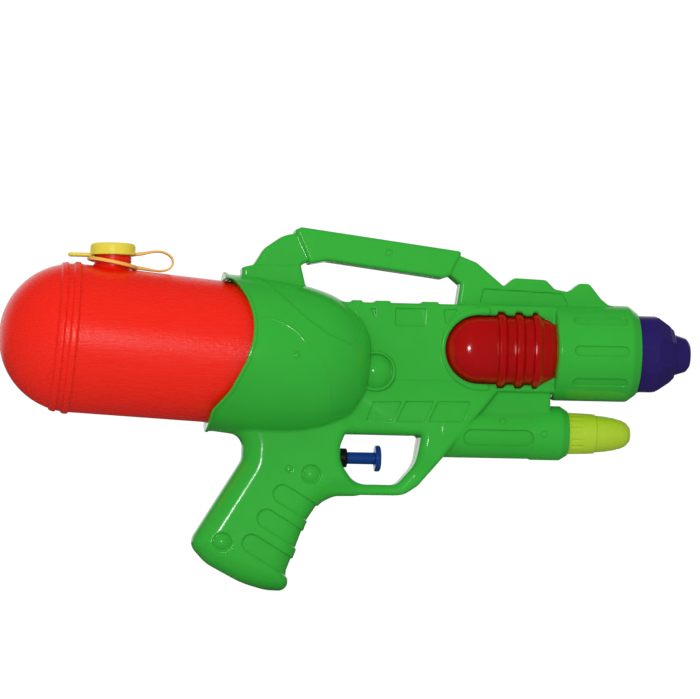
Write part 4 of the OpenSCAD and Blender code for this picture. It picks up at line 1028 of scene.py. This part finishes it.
# %% Make the cap
CAP_FOOT, CAP_ROOF, CAP_TOP = 157.4, 163.5, 164.9
CAP_R, CAP_BORE, CAP_EDGE, CAP_FILLET = 14.4, 12.9, 2.2, 0.4
CAP_LIP, CAP_LIP_H, CAP_LIP_EDGE = 0.6, 1.5, 0.5
TAB_L, TAB_W, TAB_T, TAB_EDGE = 10.0, 8.0, 2.4, 0.9
CAP_LOW, CAP_HIGH, CAP_CELL = (-132, -16, 155), (-83, 16, 166), 0.4


def cap_form(x, y, z):
    """The lid with its lip and tab."""
    out = np.hypot(x - NECK_X, y)
    lip_z = np.maximum(CAP_FOOT - z, z - CAP_FOOT - CAP_LIP_H)
    lid = np.maximum(within(out - CAP_R, z - CAP_TOP, CAP_EDGE), CAP_FOOT - z)
    lip = within(out - CAP_R - CAP_LIP, lip_z, CAP_LIP_EDGE)
    reach = NECK_X - CAP_R - TAB_L
    tab = np.maximum(np.hypot(np.minimum(x - reach, 0), y) - TAB_W / 2, x - NECK_X)
    tab = within(tab, np.abs(z - CAP_FOOT) - TAB_T / 2, TAB_EDGE)
    form = joined(joined(lid, lip, CAP_FILLET), tab, CAP_FILLET)
    return np.maximum(form, -np.maximum(out - CAP_BORE, z - CAP_ROOF))


cap = solid_from("cap_lid", cap_form, CAP_LOW, CAP_HIGH, CAP_CELL)
stands_for(cap, "cap", "filler_cap", cap_yellow)

# %% [markdown]
# ## Tether
# The tether keeps the cap from being lost: a ring that snaps round the neck, and a strap that runs out,
# loops over and meets the cap. The strap is the room within half its thickness of a smooth line, a little
# stouter where it leaves the cap and the ring.

# %% Make the tether
RING_R, RING_BORE, RING_Z, RING_T = 16.4, 13.3, 152.4, 2.2
RING_LEAN = math.radians(10.5)
STRAP_T, STRAP_W, TETHER_EDGE = 1.2, 6.0, 0.4
STRAP_ROOT_X, STRAP_ROOT_L, STRAP_ROOT_T = -72.0, 10.0, 0.4
STRAP = [(14.2, 158.3), (20, 159.2), (26, 160.4), (32, 160.2), (36.8, 157.6), (38.4, 153.6), (36.4, 149.9),
         (31.6, 148.2), (25.6, 148.5), (20, 149.3), (14.6, 150)]
STRAP_STEPS = 6
RING_LOW, RING_HIGH, RING_CELL = (-117, -18, 146), (-81, 18, 158), 0.4
STRAP_LOW, STRAP_HIGH, STRAP_CELL = (-86, -4, 146), (-58, 4, 163), 0.35
strap_chart = Chart(curve_through(STRAP, STRAP_STEPS) + (NECK_X, 0), closed=False)


def ring_form(x, y, z):
    """The leaning ring round the neck."""
    dx = x - NECK_X
    dz = z - RING_Z
    flat = dx * math.cos(RING_LEAN) - dz * math.sin(RING_LEAN)
    rise = dx * math.sin(RING_LEAN) + dz * math.cos(RING_LEAN)
    out = np.hypot(flat, y)
    return within(np.maximum(out - RING_R, RING_BORE - out), np.abs(rise) - RING_T / 2, TETHER_EDGE)


def strap_form(x, y, z):
    """The strap round its line, stouter at its two roots."""
    half = STRAP_T / 2 + STRAP_ROOT_T * np.clip((STRAP_ROOT_X - x) / STRAP_ROOT_L, 0, 1)
    return within(strap_chart(x, z) - half, np.abs(y) - STRAP_W / 2, TETHER_EDGE)


ring = solid_from("tether_ring", ring_form, RING_LOW, RING_HIGH, RING_CELL)
stands_for(ring, "gun", "cap_tether", strap_yellow)
strap = solid_from("tether_strap", strap_form, STRAP_LOW, STRAP_HIGH, STRAP_CELL)
strap.data.materials.append(strap_yellow)
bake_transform(strap)
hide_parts("cap_tether")

# %% [markdown]
# ## Working parts inside
# The pump's own parts keep their construction shapes, since they are simple turned or drawn pieces. They
# are hidden in the closed shells, but each has the finish of its real material: natural polypropylene,
# rubber, soft clear vinyl and bright spring steel.

# %% Inner materials
INNER_IOR, MARKS_MM = 1.5, 4.0
MARKS_SHINE, MARKS_DULL = 0.05, 0.08


def plain(name, hex_colour, roughness, metallic=0.0, see_through=0.0):
    """A material with an even colour and a fine uneven gloss, for parts that are seen little."""
    material, tree, shader, where = plastic(name, hex_colour, roughness, INNER_IOR)
    shader.inputs["Metallic"].default_value = metallic
    shader.inputs["Transmission Weight"].default_value = see_through
    marks = add(tree, "ShaderNodeTexNoise", Vector=where, Scale=per_metre(MARKS_MM), Detail=4.0)
    dull = add(tree, "ShaderNodeMapRange", Value=marks.outputs["Fac"], From_Min=NOISE_LOW,
               From_Max=NOISE_HIGH, To_Min=roughness - MARKS_SHINE, To_Max=roughness + MARKS_DULL)
    tree.links.new(dull.outputs["Result"], shader.inputs["Roughness"])
    return material


# Uncoloured polypropylene as it comes from the mould: milky, with a waxy sheen.
white_pump = plain("polypropylene_natural", "#DEDCD2", 0.4)
# Pressed rubber: matt and dark.
rubber = plain("nitrile_rubber_grey", "#3A3A3A", 0.65)
# Drawn soft vinyl tube: clear and smooth.
vinyl = plain("vinyl_clear_soft", "#E6EAE6", 0.2, see_through=0.6)
# Drawn steel wire and rolled balls: bright, with fine marks of the die.
steel = plain("spring_steel_bright", "#B9BABC", 0.25, metallic=1.0)
FINISHES = {"shell_screws": steel, "cap_gasket": rubber, "suction_hose": vinyl, "delivery_hose": vinyl,
            "inlet_valve_body": white_pump, "inlet_ball": steel, "pump_cylinder": white_pump,
            "piston_seal": rubber, "outlet_valve_body": white_pump, "outlet_ball": steel}
for name, finish in FINISHES.items():
    for material_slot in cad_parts[name].material_slots:
        material_slot.material = finish
print(len(FINISHES), "inner parts finished")

# %% [markdown]
# ## Return spring
# The spring that pushes the plunger out again is a wound steel wire, hidden in the pump, with its end coils
# closed up so that they sit flat. It could be a screw modifier on a circle. A curve with a round section is
# used, since its pitch can change along it, and it becomes a mesh that rides on the gun.

# %% Wind the spring
SPRING_START, SPRING_END, SPRING_R, WIRE_R = 14.05, 32.45, 4.5, 0.4
COILS, COIL_STEPS, CLOSED_PITCH, WIRE_ROUND = 7, 32, 0.85, 3
turns = np.linspace(0, COILS, COILS * COIL_STEPS + 1)
ends = [SPRING_START, SPRING_START + CLOSED_PITCH, SPRING_END - CLOSED_PITCH, SPRING_END]
wire_x = np.interp(turns, [0, 1, COILS - 1, COILS], ends)
wire_y = SPRING_R * np.cos(2 * math.pi * turns)
wire_z = PUMP_Z + SPRING_R * np.sin(2 * math.pi * turns)
wire = bpy.data.curves.new("spring_wire", "CURVE")
wire.dimensions = "3D"
wire.bevel_depth = WIRE_R * MM
wire.bevel_resolution = WIRE_ROUND
wire.use_fill_caps = True
coil = wire.splines.new("POLY")
coil.points.add(len(turns) - 1)
for point, place in zip(coil.points, zip(wire_x, wire_y, wire_z)):
    point.co = (*(Vector(place) * MM), 1)
winding = bpy.data.objects.new("winding", wire)
bpy.context.scene.collection.objects.link(winding)
bpy.context.view_layer.update()
bent = winding.evaluated_get(bpy.context.evaluated_depsgraph_get())
spring = bpy.data.objects.new("spring_wound", bpy.data.meshes.new_from_object(bent))
bpy.context.scene.collection.objects.link(spring)
bpy.data.objects.remove(winding)
stands_for(spring, "gun", "return_spring", steel)
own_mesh(spring)
print("spring of", COILS, "coils,", len(spring.data.vertices), "points")

# %% [markdown]
# ## White room
# The picture was taken in a white room, which fills the shadows and whitens the rims. A plain white world
# would also show in every glossy face and wash its colour out, so glossy rays see a dark front, and the
# white backdrop only where they run on nearly straight to the back. The camera sees the backdrop as white
# paper.

# %% Room
ROOM_BELOW, ROOM_ABOVE = 0.5, 0.7
DARK_FRONT, BACKDROP = 0.05, 1.05
BACKDROP_FROM, BACKDROP_FULL = 0.6, 0.95
scene = bpy.context.scene
scene.view_settings.view_transform = "Standard"
room = bpy.data.worlds.new("white_room")
scene.world = room
room.use_nodes = True
room.cycles.sampling_method = "NONE"
tree = room.node_tree
sky = tree.nodes["Background"]
sky.inputs["Color"].default_value = (1, 1, 1, 1)
towards = add(tree, "ShaderNodeSeparateXYZ", Vector=add(tree, "ShaderNodeTexCoord").outputs["Generated"])
overhead = add(tree, "ShaderNodeMapRange", Value=towards.outputs["Z"], From_Min=-1.0, From_Max=1.0,
               To_Min=ROOM_BELOW, To_Max=ROOM_ABOVE)
mirrored = add(tree, "ShaderNodeMapRange", Value=towards.outputs["Y"], From_Min=BACKDROP_FROM,
               From_Max=BACKDROP_FULL, To_Min=DARK_FRONT, To_Max=BACKDROP)
path = add(tree, "ShaderNodeLightPath")
shine = add(tree, "ShaderNodeMix", {"data_type": "FLOAT"}, Factor=path.outputs["Is Glossy Ray"],
            A=overhead.outputs["Result"], B=mirrored.outputs["Result"])
clear = add(tree, "ShaderNodeMix", {"data_type": "FLOAT"}, Factor=path.outputs["Is Transmission Ray"],
            A=shine.outputs["Result"], B=BACKDROP)
seen = add(tree, "ShaderNodeMix", {"data_type": "FLOAT"}, Factor=path.outputs["Is Camera Ray"],
           A=clear.outputs["Result"], B=BACKDROP)
tree.links.new(seen.outputs["Result"], sky.inputs["Strength"])
print("room is lit from", ROOM_BELOW, "below to", ROOM_ABOVE, "above")

# %% [markdown]
# ## Lamps
# A small flash beside the lens puts a bright pin in each glossy bulge. A larger lamp, like a window, models
# the forms from above. It is kept out of reflections, because the picture shows no window in the gloss.

# %% Lamps
def lamp(name, azimuth, elevation, distance, size, watts, glossy):
    """A square lamp that faces the target from a direction. One that isn't glossy leaves no highlight."""
    data = bpy.data.lights.new(name, "AREA")
    data.size = size
    data.energy = watts
    light = bpy.data.objects.new(name, data)
    light.matrix_world = look_from(math.radians(azimuth), math.radians(elevation), 0, distance)
    light.visible_glossy = glossy
    scene.collection.objects.link(light)
    return light


flash = lamp("flash", azimuth=-9, elevation=3, distance=2.3, size=0.05, watts=6, glossy=True)
window_lamp = lamp("window", azimuth=-12, elevation=24, distance=2.3, size=0.5, watts=21, glossy=False)
print("lamps:", flash.name, window_lamp.name)

# %% [markdown]
# ## Floor
# The floor is a wide sheet of white paper just under the grip. It keeps a trace of the toy's shadow: the
# camera sees mostly the paper's own white, and a tenth of its lit face. In glossy faces it is as dark as
# the room's front.

# %% Floor sheet
FLOOR_HALF, FLOOR_DROP, FLOOR_LIFT = 3.0, 0.3 * MM, 0.9
floor_z = cad_box[0][2] - FLOOR_DROP
corners = [(x * FLOOR_HALF, y * FLOOR_HALF, floor_z) for x, y in ((-1, -1), (1, -1), (1, 1), (-1, 1))]
floor_mesh = bpy.data.meshes.new("floor_sheet")
floor_mesh.from_pydata(corners, [], [(0, 1, 2, 3)])
floor = bpy.data.objects.new("floor_sheet", floor_mesh)
scene.collection.objects.link(floor)
paper = bpy.data.materials.new("white_paper")
paper.use_nodes = True
tree = paper.node_tree
tree.nodes.clear()
matt = add(tree, "ShaderNodeBsdfDiffuse", Color=linear("#F2F2F2"))
glow = add(tree, "ShaderNodeEmission", Strength=BACKDROP)
dim = add(tree, "ShaderNodeEmission", Strength=DARK_FRONT)
path = add(tree, "ShaderNodeLightPath")
lift = add(tree, "ShaderNodeMath", {"operation": "MULTIPLY"})
tree.links.new(path.outputs["Is Camera Ray"], lift.inputs[0])
lift.inputs[1].default_value = FLOOR_LIFT
mirrored = add(tree, "ShaderNodeMixShader", Fac=path.outputs["Is Glossy Ray"])
tree.links.new(matt.outputs["BSDF"], mirrored.inputs[1])
tree.links.new(dim.outputs["Emission"], mirrored.inputs[2])
mixed = add(tree, "ShaderNodeMixShader", Fac=lift.outputs["Value"])
tree.links.new(mirrored.outputs["Shader"], mixed.inputs[1])
tree.links.new(glow.outputs["Emission"], mixed.inputs[2])
add(tree, "ShaderNodeOutputMaterial", Surface=mixed.outputs["Shader"])
floor_mesh.materials.append(paper)
print("floor lies at", round(floor_z / MM, 1), "mm")
